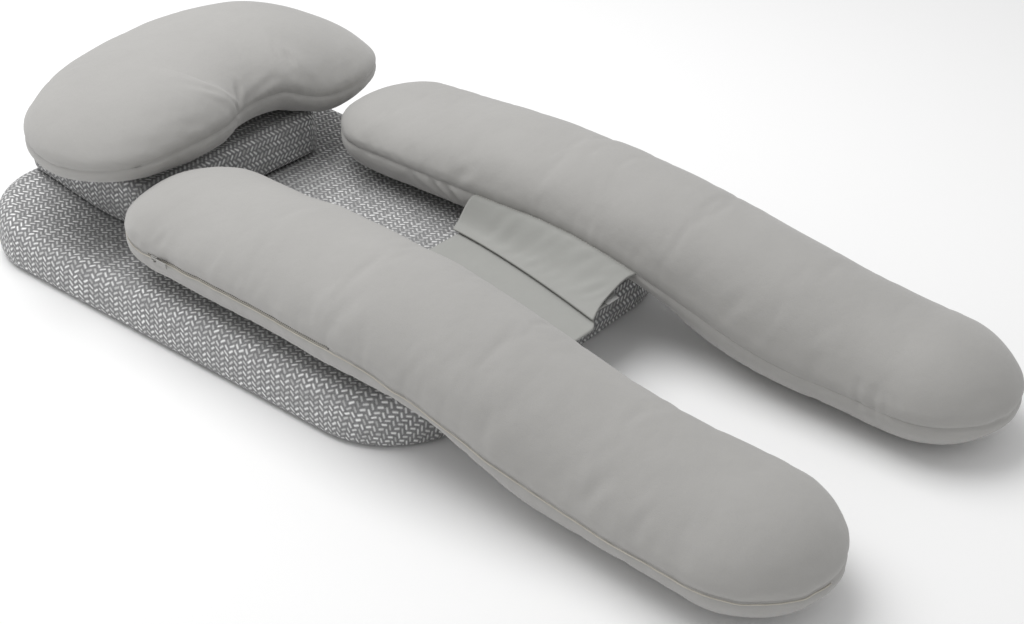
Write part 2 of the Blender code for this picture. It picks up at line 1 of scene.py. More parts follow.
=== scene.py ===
"""Looks of a nursing pillow set: a knit-covered base and headrest, a kidney head pillow and two bolsters.

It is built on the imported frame, in metres: +Y runs to the head end, +X to the right and +Z is up.
"""

import math
from functools import partial
from itertools import product

import bpy
import numpy as np
from bpy.props import EnumProperty, FloatProperty, FloatVectorProperty, PointerProperty
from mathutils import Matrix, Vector


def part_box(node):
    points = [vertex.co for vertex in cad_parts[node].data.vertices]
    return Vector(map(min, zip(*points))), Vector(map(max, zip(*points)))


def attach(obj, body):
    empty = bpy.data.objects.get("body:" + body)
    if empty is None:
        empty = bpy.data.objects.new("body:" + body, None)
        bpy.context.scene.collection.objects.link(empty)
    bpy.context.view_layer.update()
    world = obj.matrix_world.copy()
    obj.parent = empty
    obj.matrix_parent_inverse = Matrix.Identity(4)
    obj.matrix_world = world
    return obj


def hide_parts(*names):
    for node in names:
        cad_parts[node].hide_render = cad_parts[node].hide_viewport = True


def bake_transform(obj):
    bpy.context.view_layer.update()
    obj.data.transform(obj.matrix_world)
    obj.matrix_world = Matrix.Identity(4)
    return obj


bl_info = {
    "name": "Nursing Pillow Set",
    "version": (1, 0, 0),
    "blender": (4, 5, 0),
    "location": "3D View > Sidebar > Nursing Pillow",
    "description": "Covers, cushions, flaps and zips of a nursing pillow set, on its packed frame",
    "category": "Add Mesh",
}

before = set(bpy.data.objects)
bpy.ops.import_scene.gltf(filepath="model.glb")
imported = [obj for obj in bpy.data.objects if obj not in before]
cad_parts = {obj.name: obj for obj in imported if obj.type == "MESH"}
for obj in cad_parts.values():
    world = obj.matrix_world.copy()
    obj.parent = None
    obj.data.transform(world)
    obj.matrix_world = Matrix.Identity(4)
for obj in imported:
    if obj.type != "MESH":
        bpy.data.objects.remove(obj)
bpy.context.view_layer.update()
BASE_LOW, BASE_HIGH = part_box("base_knit_cover")
HEADREST_LOW, HEADREST_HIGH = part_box("headrest_knit_cover")
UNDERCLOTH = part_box("base_grip_panel")[1].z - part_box("base_grip_panel")[0].z
CLEAR = 0.0003  # between two layers that touch
UP = np.array((0.0, 0.0, 1.0))
seam_lines = {}  # (cushion, side) -> points and outward directions along that seam


# ------------------------------------------------------------------ sizes and colours
def length_prop(name, description, default, most=2.0):
    return FloatProperty(name=name, description=description, default=default, min=0.0, max=most,
                         unit="LENGTH")


def place_prop(name, description, default):
    return FloatProperty(name=name, description=description, default=default, unit="LENGTH")


def angle_prop(name, description, degrees):
    return FloatProperty(name=name, description=description, default=math.radians(degrees), subtype="ANGLE")


def share_prop(name, description, default):
    return FloatProperty(name=name, description=description, default=default, min=0.0, max=4.0)


def colour_prop(name, description, grey):
    return FloatVectorProperty(name=name, description=description, default=grey, size=3, min=0.0, max=1.0,
                               subtype="COLOR")


class BlockSizes(bpy.types.PropertyGroup):
    """Sizes of the two foam blocks under their knit covers."""

    base_corner: length_prop("Base corner", "Radius of the base's corners in plan", 0.130)
    base_edge: length_prop("Base edge", "Rounding of the base's top edge", 0.026)
    base_height: length_prop("Base height", "Height of the base under the bolsters", 0.074)
    dip: length_prop("Dip", "Depth of the hollow across the base", 0.013)
    dip_from_head: length_prop("Dip place", "From the head edge to the deepest line of the hollow", 0.210)
    head_rise: length_prop("Head rise", "How far the head edge stands above the level part", 0.011)
    wave_from_head: length_prop("Wave end", "From the head edge to where the level part begins", 0.430)
    headrest_corner: length_prop("Headrest corner", "Radius of the headrest's corners in plan", 0.030)
    headrest_edge: length_prop("Headrest edge", "Rounding of the headrest's top edge", 0.016)
    wall_bulge: length_prop("Wall bulge", "How far a side wall swells at half its height", 0.0025)
    turn_in: length_prop("Turn-in", "Width of the cover's turned-in bottom edge", 0.006)
    knit_gap: length_prop("Knit gap", "From the face of the knit to the foam", 0.0045)
    base_foot: length_prop("Base foot", "Rounding of the base cover's bottom edge", 0.009)
    headrest_foot: length_prop("Headrest foot", "Rounding of the headrest cover's bottom edge", 0.006)


class CushionSizes(bpy.types.PropertyGroup):
    """Sizes of the stuffed cushions and of how their cloth lies."""

    pillow_radius: length_prop("Pillow arc", "Radius of the head pillow's middle line", 0.275)
    pillow_half_angle: angle_prop("Pillow half angle", "Half of the head pillow's arc", 67)
    pillow_width: length_prop("Pillow width", "Front to rear at the middle of the head pillow", 0.300)
    pillow_lower: length_prop("Pillow lower half", "From the headrest to the head pillow's seam", 0.064)
    pillow_upper: length_prop("Pillow upper half", "From the head pillow's seam to its crown", 0.076)
    pillow_sag: length_prop("Pillow sag", "How far the right end hangs down past the headrest", 0.034)
    pillow_x: place_prop("Pillow place", "Place of the pillow's arc centre across the set", 0.035)
    pillow_y: length_prop("Pillow arc centre", "Place of the pillow's arc centre towards the head", 0.025)
    pillow_turn: angle_prop("Pillow turn", "How far the head pillow is turned about the vertical", 4)
    bolster_width: length_prop("Bolster width", "Width of a bolster at its flap", 0.224)
    left_length: length_prop("Left length", "Length of the left bolster", 1.108)
    right_length: length_prop("Right length", "Length of the right bolster", 1.116)
    zip_side: length_prop("Zip side", "Widest that the right bolster's half with its zip may be", 0.1135)
    left_head: length_prop("Left head end", "How far the left bolster reaches past the middle", 0.130)
    right_head: length_prop("Right head end", "How far the right bolster reaches past the middle", 0.118)
    bolster_drop: length_prop("Drop", "Length over which a bolster comes down to the floor", 0.215)
    left_x: place_prop("Left bolster", "Place of the left bolster", -0.187)
    right_x: place_prop("Right bolster", "Place of the right bolster", 0.2165)
    left_turn: angle_prop("Left turn", "How far the left bolster is turned about the vertical", -1.3)
    right_turn: angle_prop("Right turn", "How far the right bolster is turned about the vertical", -1.1)
    groove: length_prop("Seam groove", "Depth of the groove that a seam draws in the cover", 0.0018)
    pucker: length_prop("Pucker", "Height of the small gathers beside a seam", 0.0016)
    dents: length_prop("Dents", "Height of the broad soft dents of the stuffing", 0.0035)
    creases: share_prop("Creases", "How much of the simulated creases is kept", 0.22)
    filling_gap: length_prop("Filling gap", "From the cover to the inner cushion", 0.012)


class FlapSizes(bpy.types.PropertyGroup):
    """Sizes of the two flaps that join the bolsters."""

    length: length_prop("Length", "Length of a flap along its bolster", 0.300)
    from_head: length_prop("From head", "From the bolster's head end to the flap", 0.345)
    thickness: length_prop("Thickness", "Two layers of cloth", 0.0025)
    left_reach: length_prop("Left reach", "From the left bolster's side to the free edge", 0.150)
    right_reach_head: length_prop("Right reach, head", "Reach of the right flap at its head edge", 0.040)
    right_reach_foot: length_prop("Right reach, foot", "Reach of the right flap at its foot edge", 0.101)
    left_level: length_prop("Left level", "Height of the left flap's flat underside", 0.0930)
    right_level: length_prop("Right level", "Height of the right flap's flat underside", 0.0984)
    slope: length_prop("Slope", "Width of the sloping part beside the bolster", 0.034)
    ripple: length_prop("Ripple", "Height of the right flap's slanting ripples", 0.0042)


class StitchSizes(bpy.types.PropertyGroup):
    """Sizes of the thread, the piping and the zips."""

    stitch: length_prop("Stitch", "Length of one stitch", 0.0032)
    stitch_gap: length_prop("Stitch gap", "From one stitch to the next", 0.0014)
    thread: length_prop("Thread", "Radius of the sewing thread", 0.00035)
    piping: length_prop("Piping", "Radius of the pale cord in a seam", 0.0010)
    coil_pitch: length_prop("Coil pitch", "From one tooth of a zip to the next", 0.0017)
    coil_height: length_prop("Coil height", "Height of a zip's teeth over both tapes", 0.0030)
    tape_height: length_prop("Tape height", "Height of what shows of a zip's tapes", 0.0062)
    cord_drop: length_prop("Cord drop", "From the left bolster's zip down to its pale cord", 0.0030)


class Finishes(bpy.types.PropertyGroup):
    """Colours of the cloths and the knit, and the knit's scale."""

    cushion: colour_prop("Cushion cloth", "Brushed cloth of the stuffed cushions", (0.386, 0.379, 0.366))
    flap: colour_prop("Flap cloth", "Smoother cloth of the flaps", (0.345, 0.347, 0.330))
    yarn: colour_prop("Yarn", "Silver yarn on the face of the knit", (0.78, 0.78, 0.78))
    ground: colour_prop("Ground", "Dark ground of the knit", (0.235, 0.235, 0.238))
    thread: colour_prop("Thread", "Sewing thread", (0.56, 0.55, 0.51))
    piping: colour_prop("Piping", "Pale cord in a seam, and the zips' teeth", (0.50, 0.475, 0.42))
    zip_tape: colour_prop("Zip tape", "Woven tape beside a zip's teeth", (0.10, 0.10, 0.098))
    touch_tape: colour_prop("Hook and loop", "Fuzzy hook-and-loop tape", (0.30, 0.30, 0.29))
    foam: colour_prop("Foam", "Cream foam of the blocks", (0.83, 0.79, 0.62))
    liner: colour_prop("Liner", "White cloth of the inner cushions", (0.80, 0.80, 0.77))
    grip: colour_prop("Grip cloth", "Dark cloth under the blocks", (0.085, 0.085, 0.09))
    rubber: colour_prop("Rubber", "Dots of the cloth under the blocks", (0.025, 0.025, 0.027))
    paint: colour_prop("Zip paint", "Paint of the zips' sliders and pullers", (0.36, 0.355, 0.34))
    worn: colour_prop("Bare metal", "Metal where the paint has worn away", (0.55, 0.545, 0.53))
    floor: colour_prop("Floor", "Plain floor", (0.94, 0.94, 0.94))
    knit_pitch: length_prop("Knit pitch", "From one yarn loop to the next along a row", 0.0082)
    knit_row: length_prop("Knit row", "Height of one row of slanting loops", 0.0088)
    knit_loop: length_prop("Loop length", "Length of one slanting loop", 0.0092)
    knit_width: length_prop("Loop width", "Width of one slanting loop", 0.0038)


class StageSettings(bpy.types.PropertyGroup):
    """The floor, the light and the camera."""

    sky: share_prop("Sky", "Strength of the light from all round", 0.56)
    lamp: FloatProperty(name="Lamp", description="Power of the overhead panel", default=56.0, min=0.0,
                        subtype="POWER")
    lamp_size: length_prop("Lamp size", "Side of the overhead panel", 2.4, most=10.0)
    azimuth: angle_prop("Azimuth", "Where the camera stands round the set", -50.63)
    elevation: angle_prop("Elevation", "How far the camera stands above the horizon", 32.37)
    distance: length_prop("Distance", "From the camera to the point it looks at", 2.1012, most=10.0)
    lens: FloatProperty(name="Lens", description="Focal length in millimetres", default=54.1, min=1.0)


# ------------------------------------------------------------------ numbers
def smooth_step(value):
    """0 below 0, 1 above 1, and an even ramp between."""
    value = np.clip(value, 0.0, 1.0)
    return value * value * (3 - 2 * value)


def bell(distance, width):
    return np.exp(-((distance / width) ** 2))


def soft_noise(points, size, seed):
    """Smooth values from -1 to 1 that change over about size metres."""
    spots = np.asarray(points) / size + 7.31 * seed
    low = np.floor(spots)
    part = smooth_step(spots - low)
    total = 0.0
    for corner in product((0, 1), repeat=3):
        key = (low + corner) @ np.array((127.1, 311.7, 74.7)) + seed
        value = np.sin(key) * 43758.5453
        weight = np.where(corner, part, 1 - part).prod(-1)
        total = total + weight * (value - np.floor(value))
    return 2 * total - 1


def unit(vectors):
    return vectors / np.maximum(np.linalg.norm(vectors, axis=-1, keepdims=True), 1e-9)


def along(path, at):
    """Points at distances along a dense path."""
    steps = np.linalg.norm(np.diff(path, axis=0), axis=1)
    gone = np.concatenate([[0.0], np.cumsum(steps)])
    return np.stack([np.interp(at, gone, path[:, i]) for i in range(3)], -1), gone[-1]


def blurred(values, times):
    """A grid of values with its small changes taken out; it closes on itself across."""
    for _ in range(times):
        values = (np.roll(values, 1, 1) + 2 * values + np.roll(values, -1, 1)) / 4
        padded = np.concatenate([values[:1], values, values[-1:]])
        values = (padded[:-2] + 2 * values + padded[2:]) / 4
    return values


# ------------------------------------------------------------------ meshes
def grid_faces(rows, columns, closed=False):
    """Quads between the neighbouring points of a grid that is listed row by row."""
    row, column = np.mgrid[: rows - 1, : columns if closed else columns - 1]
    beside = (column + 1) % columns
    quads = [row * columns + column, row * columns + beside]
    quads += [(row + 1) * columns + beside, (row + 1) * columns + column]
    return np.stack(quads, -1).reshape(-1, 4).tolist()


def piece(name, points, faces, material, uv=None, body=None):
    """A smooth mesh with its faces pointing out, riding on one body of the frame."""
    points = np.asarray(points, float).reshape(-1, 3)
    mesh = bpy.data.meshes.new(name)
    mesh.from_pydata(points.tolist(), [], faces)
    normals = np.zeros(len(mesh.polygons) * 3)
    centres = np.zeros(len(mesh.polygons) * 3)
    areas = np.zeros(len(mesh.polygons))
    mesh.polygons.foreach_get("normal", normals)
    mesh.polygons.foreach_get("center", centres)
    mesh.polygons.foreach_get("area", areas)
    outward = ((centres.reshape(-1, 3) - points.mean(0)) * normals.reshape(-1, 3)).sum(1)
    if (outward * areas).sum() < 0:
        mesh.flip_normals()
    mesh.shade_smooth()
    if uv is not None:
        corners = np.zeros(len(mesh.loops), np.int32)
        mesh.loops.foreach_get("vertex_index", corners)
        layer = mesh.uv_layers.new(name="cloth_lie")
        layer.data.foreach_set("uv", np.asarray(uv, float).reshape(-1, 2)[corners].ravel())
    mesh.materials.append(material)
    obj = bpy.data.objects.new(name, mesh)
    bpy.context.scene.collection.objects.link(obj)
    if body:
        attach(obj, body)
    return obj


def outward_directions(points, faces):
    """The outward direction at each point of a closed mesh."""
    mesh = bpy.data.meshes.new("directions")
    mesh.from_pydata(points.tolist(), [], faces)
    found = np.zeros(len(points) * 3, np.float32)
    mesh.vertex_normals.foreach_get("vector", found)
    bpy.data.meshes.remove(mesh)
    found = found.reshape(-1, 3).astype(float)
    if ((points - points.mean(0)) * found).sum() < 0:
        found = -found
    return found


def rod(path, normals, radii, sides, flat=1.0):
    """Rings and faces of a closed rod along a path; flat widens it along the cloth."""
    side = unit(np.cross(unit(np.gradient(path, axis=0)), normals))
    out = unit(normals)
    turn = np.arange(sides) * 2 * np.pi / sides
    round_it = out[:, None] * np.cos(turn)[:, None] + flat * side[:, None] * np.sin(turn)[:, None]
    points = path[:, None] + np.asarray(radii)[:, None, None] * round_it
    faces = grid_faces(len(path), sides, closed=True)
    faces.append(list(range(sides)))
    faces.append([(len(path) - 1) * sides + i for i in range(sides)])
    return points.reshape(-1, 3), faces


def two_layers(under, over):
    """Points and faces of a thin closed sheet, from the grids of its two sides."""
    rows, columns = under.shape[:2]
    count = rows * columns
    faces = grid_faces(rows, columns)
    faces = [face[::-1] for face in faces] + [[count + i for i in face] for face in faces]
    rim = list(range(columns)) + [i * columns + columns - 1 for i in range(1, rows)]
    rim += [(rows - 1) * columns + j for j in range(columns - 2, -1, -1)]
    rim += [i * columns for i in range(rows - 2, 0, -1)]
    faces += [[a, b, count + b, count + a] for a, b in zip(rim, rim[1:] + rim[:1])]
    return np.concatenate([under.reshape(-1, 3), over.reshape(-1, 3)]), faces


def gathered(parts):
    """Several (points, faces) as one."""
    points, faces, count = [], [], 0
    for more_points, more_faces in parts:
        points.append(more_points)
        faces += [[count + i for i in face] for face in more_faces]
        count += len(more_points)
    return np.concatenate(points), faces


def stitches(path, normals, sizes, raised=0.6, ragged=0.0):
    """A row of sewn stitches along a path that lies on cloth."""
    _, total = along(path, [0.0])
    step = sizes.stitch + sizes.stitch_gap
    parts = []
    for k in range(int(total / step)):
        at = k * step + np.linspace(0, sizes.stitch, 5)
        spots, _ = along(path, at)
        outs = unit(along_like(path, normals, at))
        sideways = np.cross(unit(spots[-1:] - spots[:1]), outs)
        wander = ragged * math.sin(2.3 * k) * math.sin(0.71 * k + 1)
        arch = np.sin(np.linspace(0, np.pi, 5))
        spots = spots + outs * (sizes.thread * (raised * arch - 0.3))[:, None] + sideways * wander
        parts.append(rod(spots, outs, sizes.thread * (0.45 + 0.55 * arch), 5))
    return gathered(parts)


def along_like(path, values, at):
    """Values given at a path's points, read at distances along it."""
    gone = np.concatenate([[0.0], np.cumsum(np.linalg.norm(np.diff(path, axis=0), axis=1))])
    return np.stack([np.interp(at, gone, values[:, i]) for i in range(3)], -1)


# ------------------------------------------------------------------ materials
class Board:
    """A material's nodes, with short ways to add them."""

    def __init__(self, name, roughness, metallic=0.0):
        self.made = bpy.data.materials.new(name)
        self.made.use_nodes = True
        self.tree = self.made.node_tree
        self.shader = self.tree.nodes["Principled BSDF"]
        self.shader.inputs["Roughness"].default_value = roughness
        self.shader.inputs["Metallic"].default_value = metallic
        self.place = self.node("ShaderNodeTexCoord").outputs["Object"]

    def node(self, kind, inputs=None, **settings):
        made = self.tree.nodes.new(kind)
        for key, value in settings.items():
            setattr(made, key, value)
        for key, value in (inputs or {}).items():
            self.feed(made.inputs[key], value)
        return made

    def feed(self, socket, value):
        if isinstance(value, bpy.types.NodeSocket):
            self.tree.links.new(value, socket)
        else:
            socket.default_value = value

    def sum(self, operation, *values):
        return self.node("ShaderNodeMath", dict(enumerate(values)), operation=operation).outputs[0]

    def ramp(self, value, low, high):
        """0 at low, 1 at high, with a smooth ramp between."""
        inputs = {"Value": value, "From Min": low, "From Max": high}
        return self.node("ShaderNodeMapRange", inputs, interpolation_type="SMOOTHSTEP").outputs["Result"]

    def noise(self, size, detail=2.0, place=None):
        """Noise whose marks are about size metres across."""
        inputs = {"Vector": place or self.place, "Scale": 1 / size, "Detail": detail}
        return self.node("ShaderNodeTexNoise", inputs).outputs["Fac"]

    def mix(self, share, first, second):
        inputs = {0: share, 6: first, 7: second}
        return self.node("ShaderNodeMix", inputs, data_type="RGBA").outputs[2]

    def shaded(self, colour, *marks):
        """A colour made darker and lighter by (noise, strength) marks."""
        level = 1.0
        for mark, strength in marks:
            level = self.sum("ADD", level, self.sum("MULTIPLY", self.sum("SUBTRACT", mark, 0.5), strength))
        inputs = {0: 1.0, 6: (*colour, 1.0)}
        mixed = self.node("ShaderNodeMix", inputs, data_type="RGBA", blend_type="MULTIPLY")
        self.tree.links.new(level, mixed.inputs[7])
        return mixed.outputs[2]

    def bump(self, *layers):
        """Relief from (height, distance) layers, each over the one before."""
        normal = None
        for height, distance in layers:
            inputs = {"Height": height, "Distance": distance, "Strength": 1.0}
            if normal:
                inputs["Normal"] = normal
            normal = self.node("ShaderNodeBump", inputs).outputs["Normal"]
        if normal:
            self.tree.links.new(normal, self.shader.inputs["Normal"])

    def colour(self, value):
        self.feed(self.shader.inputs["Base Color"], value)

    def sheen(self, weight, roughness):
        self.shader.inputs["Sheen Weight"].default_value = weight
        self.shader.inputs["Sheen Roughness"].default_value = roughness


def finish(name):
    """A material by its name, made the first time that it is asked for."""
    full = name + "_finish"
    made = bpy.data.materials.get(full)
    if made:
        return made
    colours = bpy.context.scene.pillow_finishes
    if name in MAKERS:
        return MAKERS[name](full, colours)
    colour, *rest = PLAIN_FINISHES[name]
    return plain_finish(full, getattr(colours, colour), *rest)


# Finishes of one colour: its name in Finishes, the roughness, the layers of marks and the sheen.
# A layer is (size of its marks, detail, strength of its tint, height of its relief).
PLAIN_FINISHES = {
    # soft brushed cloth whose short pile catches the light in patches
    "brushed_cloth": (
        "cushion", 0.92,
        ((0.0011, 3.0, 0.10, 0.00025), (0.035, 3.0, 0.07, 0), (0.160, 1.0, 0.09, 0), (0.012, 2.0, 0, 0.0005)),
        (0.25, 0.5),
    ),
    # smooth close-woven cloth, a little darker and greener than the cushions'
    "flap_cloth": (
        "flap", 0.88,
        ((0.0008, 2.0, 0.08, 0.00018), (0.030, 2.0, 0.08, 0), (0.014, 2.0, 0, 0.0004)),
        (0.15, 0.5),
    ),
    "touch_tape": ("touch_tape", 0.95, ((0.0009, 3.0, 0.5, 0.0006),), (0.3, 0.6)),
    "zip_tape": ("zip_tape", 0.85, ((0.0007, 1.0, 0.4, 0.0002),), None),
    "zip_coil": ("piping", 0.45, ((0.002, 2.0, 0.15, 0), (0.0006, 2.0, 0, 0.0001)), None),
    "sewing_thread": ("thread", 0.7, ((0.0004, 1.0, 0.2, 0.00008),), None),
    "seam_cord": ("piping", 0.8, ((0.0012, 2.0, 0.25, 0.0002), (0.02, 2.0, 0.25, 0)), None),
    "floor_paint": ("floor", 0.9, ((0.6, 1.0, 0.01, 0),), None),
}


def plain_finish(name, colour, roughness, layers, sheen):
    board = Board(name, roughness)
    marks = [(board.noise(size, detail), tint, relief) for size, detail, tint, relief in layers]
    board.colour(board.shaded(colour, *[(mark, tint) for mark, tint, _ in marks if tint]))
    board.bump(*[(mark, relief) for mark, _, relief in marks if relief])
    if sheen:
        board.sheen(*sheen)
    return board.made


def herringbone_knit(name, colours):
    """Dark ground with rows of slanting silver loops that lean the other way in every second row."""
    board = Board(name, 0.80)
    add, less, times = (partial(board.sum, kind) for kind in ("ADD", "SUBTRACT", "MULTIPLY"))
    lie = board.node("ShaderNodeUVMap", uv_map="cloth_lie").outputs[0]
    apart = board.node("ShaderNodeSeparateXYZ", {0: lie})
    wander = times(less(board.noise(0.020, 1.0), 0.5), 0.0030)
    rows = board.sum("DIVIDE", add(apart.outputs["Y"], wander), colours.knit_row)
    row = board.sum("FLOOR", rows)
    odd = board.sum("FLOORED_MODULO", row, 2.0)
    columns = board.sum("DIVIDE", add(apart.outputs["X"], wander), colours.knit_pitch)
    columns = add(columns, times(odd, 0.35))
    x = times(less(board.sum("FRACT", columns), 0.5), colours.knit_pitch)
    y = times(less(board.sum("FRACT", rows), 0.5), colours.knit_row)
    y_leaning = times(y, less(times(odd, 2.0), 1.0))
    slant = math.radians(50)
    length = less(times(x, math.cos(slant)), times(y_leaning, math.sin(slant)))
    width = add(times(x, math.sin(slant)), times(y_leaning, math.cos(slant)))
    half = colours.knit_width / 2
    past = board.sum("MAXIMUM", less(board.sum("ABSOLUTE", length), colours.knit_loop / 2 - half), 0.0)
    off = board.sum("POWER", add(times(past, past), times(width, width)), 0.5)
    loop = less(1.0, board.ramp(off, half * 0.10, half * 1.40))
    cell = board.node("ShaderNodeCombineXYZ", {0: board.sum("FLOOR", columns), 1: row}).outputs[0]
    own = board.node("ShaderNodeTexWhiteNoise", {"Vector": cell}, noise_dimensions="2D").outputs["Value"]
    ply = board.noise(0.0012, 2.0)
    yarn = board.shaded(colours.yarn, (own, 0.60), (ply, 0.50), (odd, 0.10), (board.noise(0.030, 1.0), 0.25))
    ground = board.shaded(colours.ground, (ply, 1.0), (board.noise(0.0035, 2.0), 0.9))
    board.colour(board.mix(loop, ground, yarn))
    board.bump((loop, 0.0010), (ply, 0.0003))
    board.feed(board.shader.inputs["Roughness"], less(0.80, times(loop, 0.38)))
    board.feed(board.shader.inputs["Metallic"], times(loop, 0.35))
    board.sheen(0.10, 0.5)
    return board.made


def pore_foam(name, colours):
    """Cream foam with open pores, with painted shade in the pores' hollows."""
    board = Board(name, 0.95)
    pores_and_shade = board.node("ShaderNodeTexVoronoi", {"Vector": board.place, "Scale": 450.0}).outputs["Distance"]
    # the foam's colour is darker in the pores: painted shade in their hollows
    board.colour(board.shaded(colours.foam, (pores_and_shade, 0.25), (board.noise(0.05), 0.10)))
    board.bump((pores_and_shade, 0.0004))
    return board.made


def woven_liner(name, colours):
    """White plain-woven cloth of the inner cushions."""
    board = Board(name, 0.9)
    wave = board.node("ShaderNodeTexWave", {"Vector": board.place, "Scale": 350.0, "Distortion": 0.6})
    board.colour(board.shaded(colours.liner, (wave.outputs["Fac"], 0.08), (board.noise(0.03), 0.08)))
    board.bump((wave.outputs["Fac"], 0.0002))
    return board.made


def grip_cloth(name, colours):
    """Dark underside cloth with small rubber dots."""
    board = Board(name, 0.85)
    inputs = {"Vector": board.place, "Scale": 160.0, "Randomness": 0.0}
    away = board.node("ShaderNodeTexVoronoi", inputs).outputs["Distance"]
    dots = board.sum("SUBTRACT", 1.0, board.ramp(away, 0.22, 0.30))
    cloth = board.shaded(colours.grip, (board.noise(0.0015), 0.5))
    board.colour(board.mix(dots, cloth, (*colours.rubber, 1.0)))
    board.bump((dots, 0.0006), (board.noise(0.0015), 0.0002))
    return board.made


def zip_metal(name, colours):
    """Painted metal, worn a little on its edges and high spots."""
    board = Board(name, 0.42)
    scuffs = board.noise(0.0018, 4.0)
    worn = board.ramp(scuffs, 0.60, 0.72)
    board.colour(board.mix(worn, (*colours.paint, 1.0), (*colours.worn, 1.0)))
    board.feed(board.shader.inputs["Metallic"], board.sum("MULTIPLY", worn, 0.9))
    board.bump((scuffs, 0.00006))
    return board.made


MAKERS = {make.__name__: make for make in (herringbone_knit, pore_foam, woven_liner, grip_cloth, zip_metal)}


def paint_node(node, name):
    """Gives a node of the frame the finish of that name, which is also its slot."""
    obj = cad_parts[node]
    obj.data.materials.clear()
    obj.data.materials.append(finish(name))


# ------------------------------------------------------------------ knit-covered blocks
def base_top(y, sizes):
    """Height of the base's waved top."""
    head = BASE_HIGH.y
    wave, dip = head - sizes.wave_from_head, head - sizes.dip_from_head
    hollow = smooth_step((y - wave) / (dip - wave)) * sizes.dip
    rise = smooth_step((y - dip) / (head - dip)) * (sizes.dip + sizes.head_rise)
    return sizes.base_height - hollow + rise


# Where the knit is stretched most, how far on both sides of it, and how much
STRETCH_MIDDLE, STRETCH_SPREAD, STRETCH = 0.150, 0.085, 0.26


def knit_rows(y):
    """Place along the knit's rows: the cloth is stretched where the hollow rises to the level part."""
    return y - STRETCH * STRETCH_SPREAD * np.tanh((y - STRETCH_MIDDLE) / STRETCH_SPREAD)


def block_outline(low, high, corner, step=0.009, round_steps=14):
    """Right half of a rounded rectangle from its rear edge to its front edge, and its outward directions."""
    middle_x, half_x = (low.x + high.x) / 2, (high.x - low.x) / 2 - corner
    middle_y, half_y = (low.y + high.y) / 2, (high.y - low.y) / 2 - corner
    quarter = np.linspace(np.pi / 2, 0, round_steps + 1)
    centres = np.stack([np.full_like(quarter, half_x), np.full_like(quarter, half_y)], -1)
    outs = np.stack([np.cos(quarter), np.sin(quarter)], -1)
    count = max(int(2 * half_y / step), 2)
    sides = np.stack([np.full(count - 1, half_x), np.linspace(half_y, -half_y, count + 1)[1:-1]], -1)
    front = centres[::-1] * (1, -1), outs[::-1] * (1, -1)
    centres = np.concatenate([centres, sides, front[0]])
    outs = np.concatenate([outs, np.tile((1.0, 0.0), (count - 1, 1)), front[1]])
    edge = centres + outs * corner
    return edge, outs, np.array((middle_x, middle_y))


def underside(body, node, low, high, corner, inset, floor):
    """The dark cloth sewn under a foam block, a little smaller than the block."""
    half, outs, middle = block_outline(low, high, corner)
    right = half - outs * inset
    share = np.linspace(0, 1, 25)[:, None]
    plan = right[:, None] * (1 - share) + (right * (-1, 1))[:, None] * share + middle
    under = np.concatenate([plan, (floor(plan[..., 1]) - UNDERCLOTH)[..., None]], -1)
    sheet = two_layers(under, under + UP * UNDERCLOTH)
    made = piece(f"{body}_underside", *sheet, finish("grip_cloth"), body=body)
    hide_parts(node)


TOP_DENTS = 0.0012  # height of the soft dents in a block's top


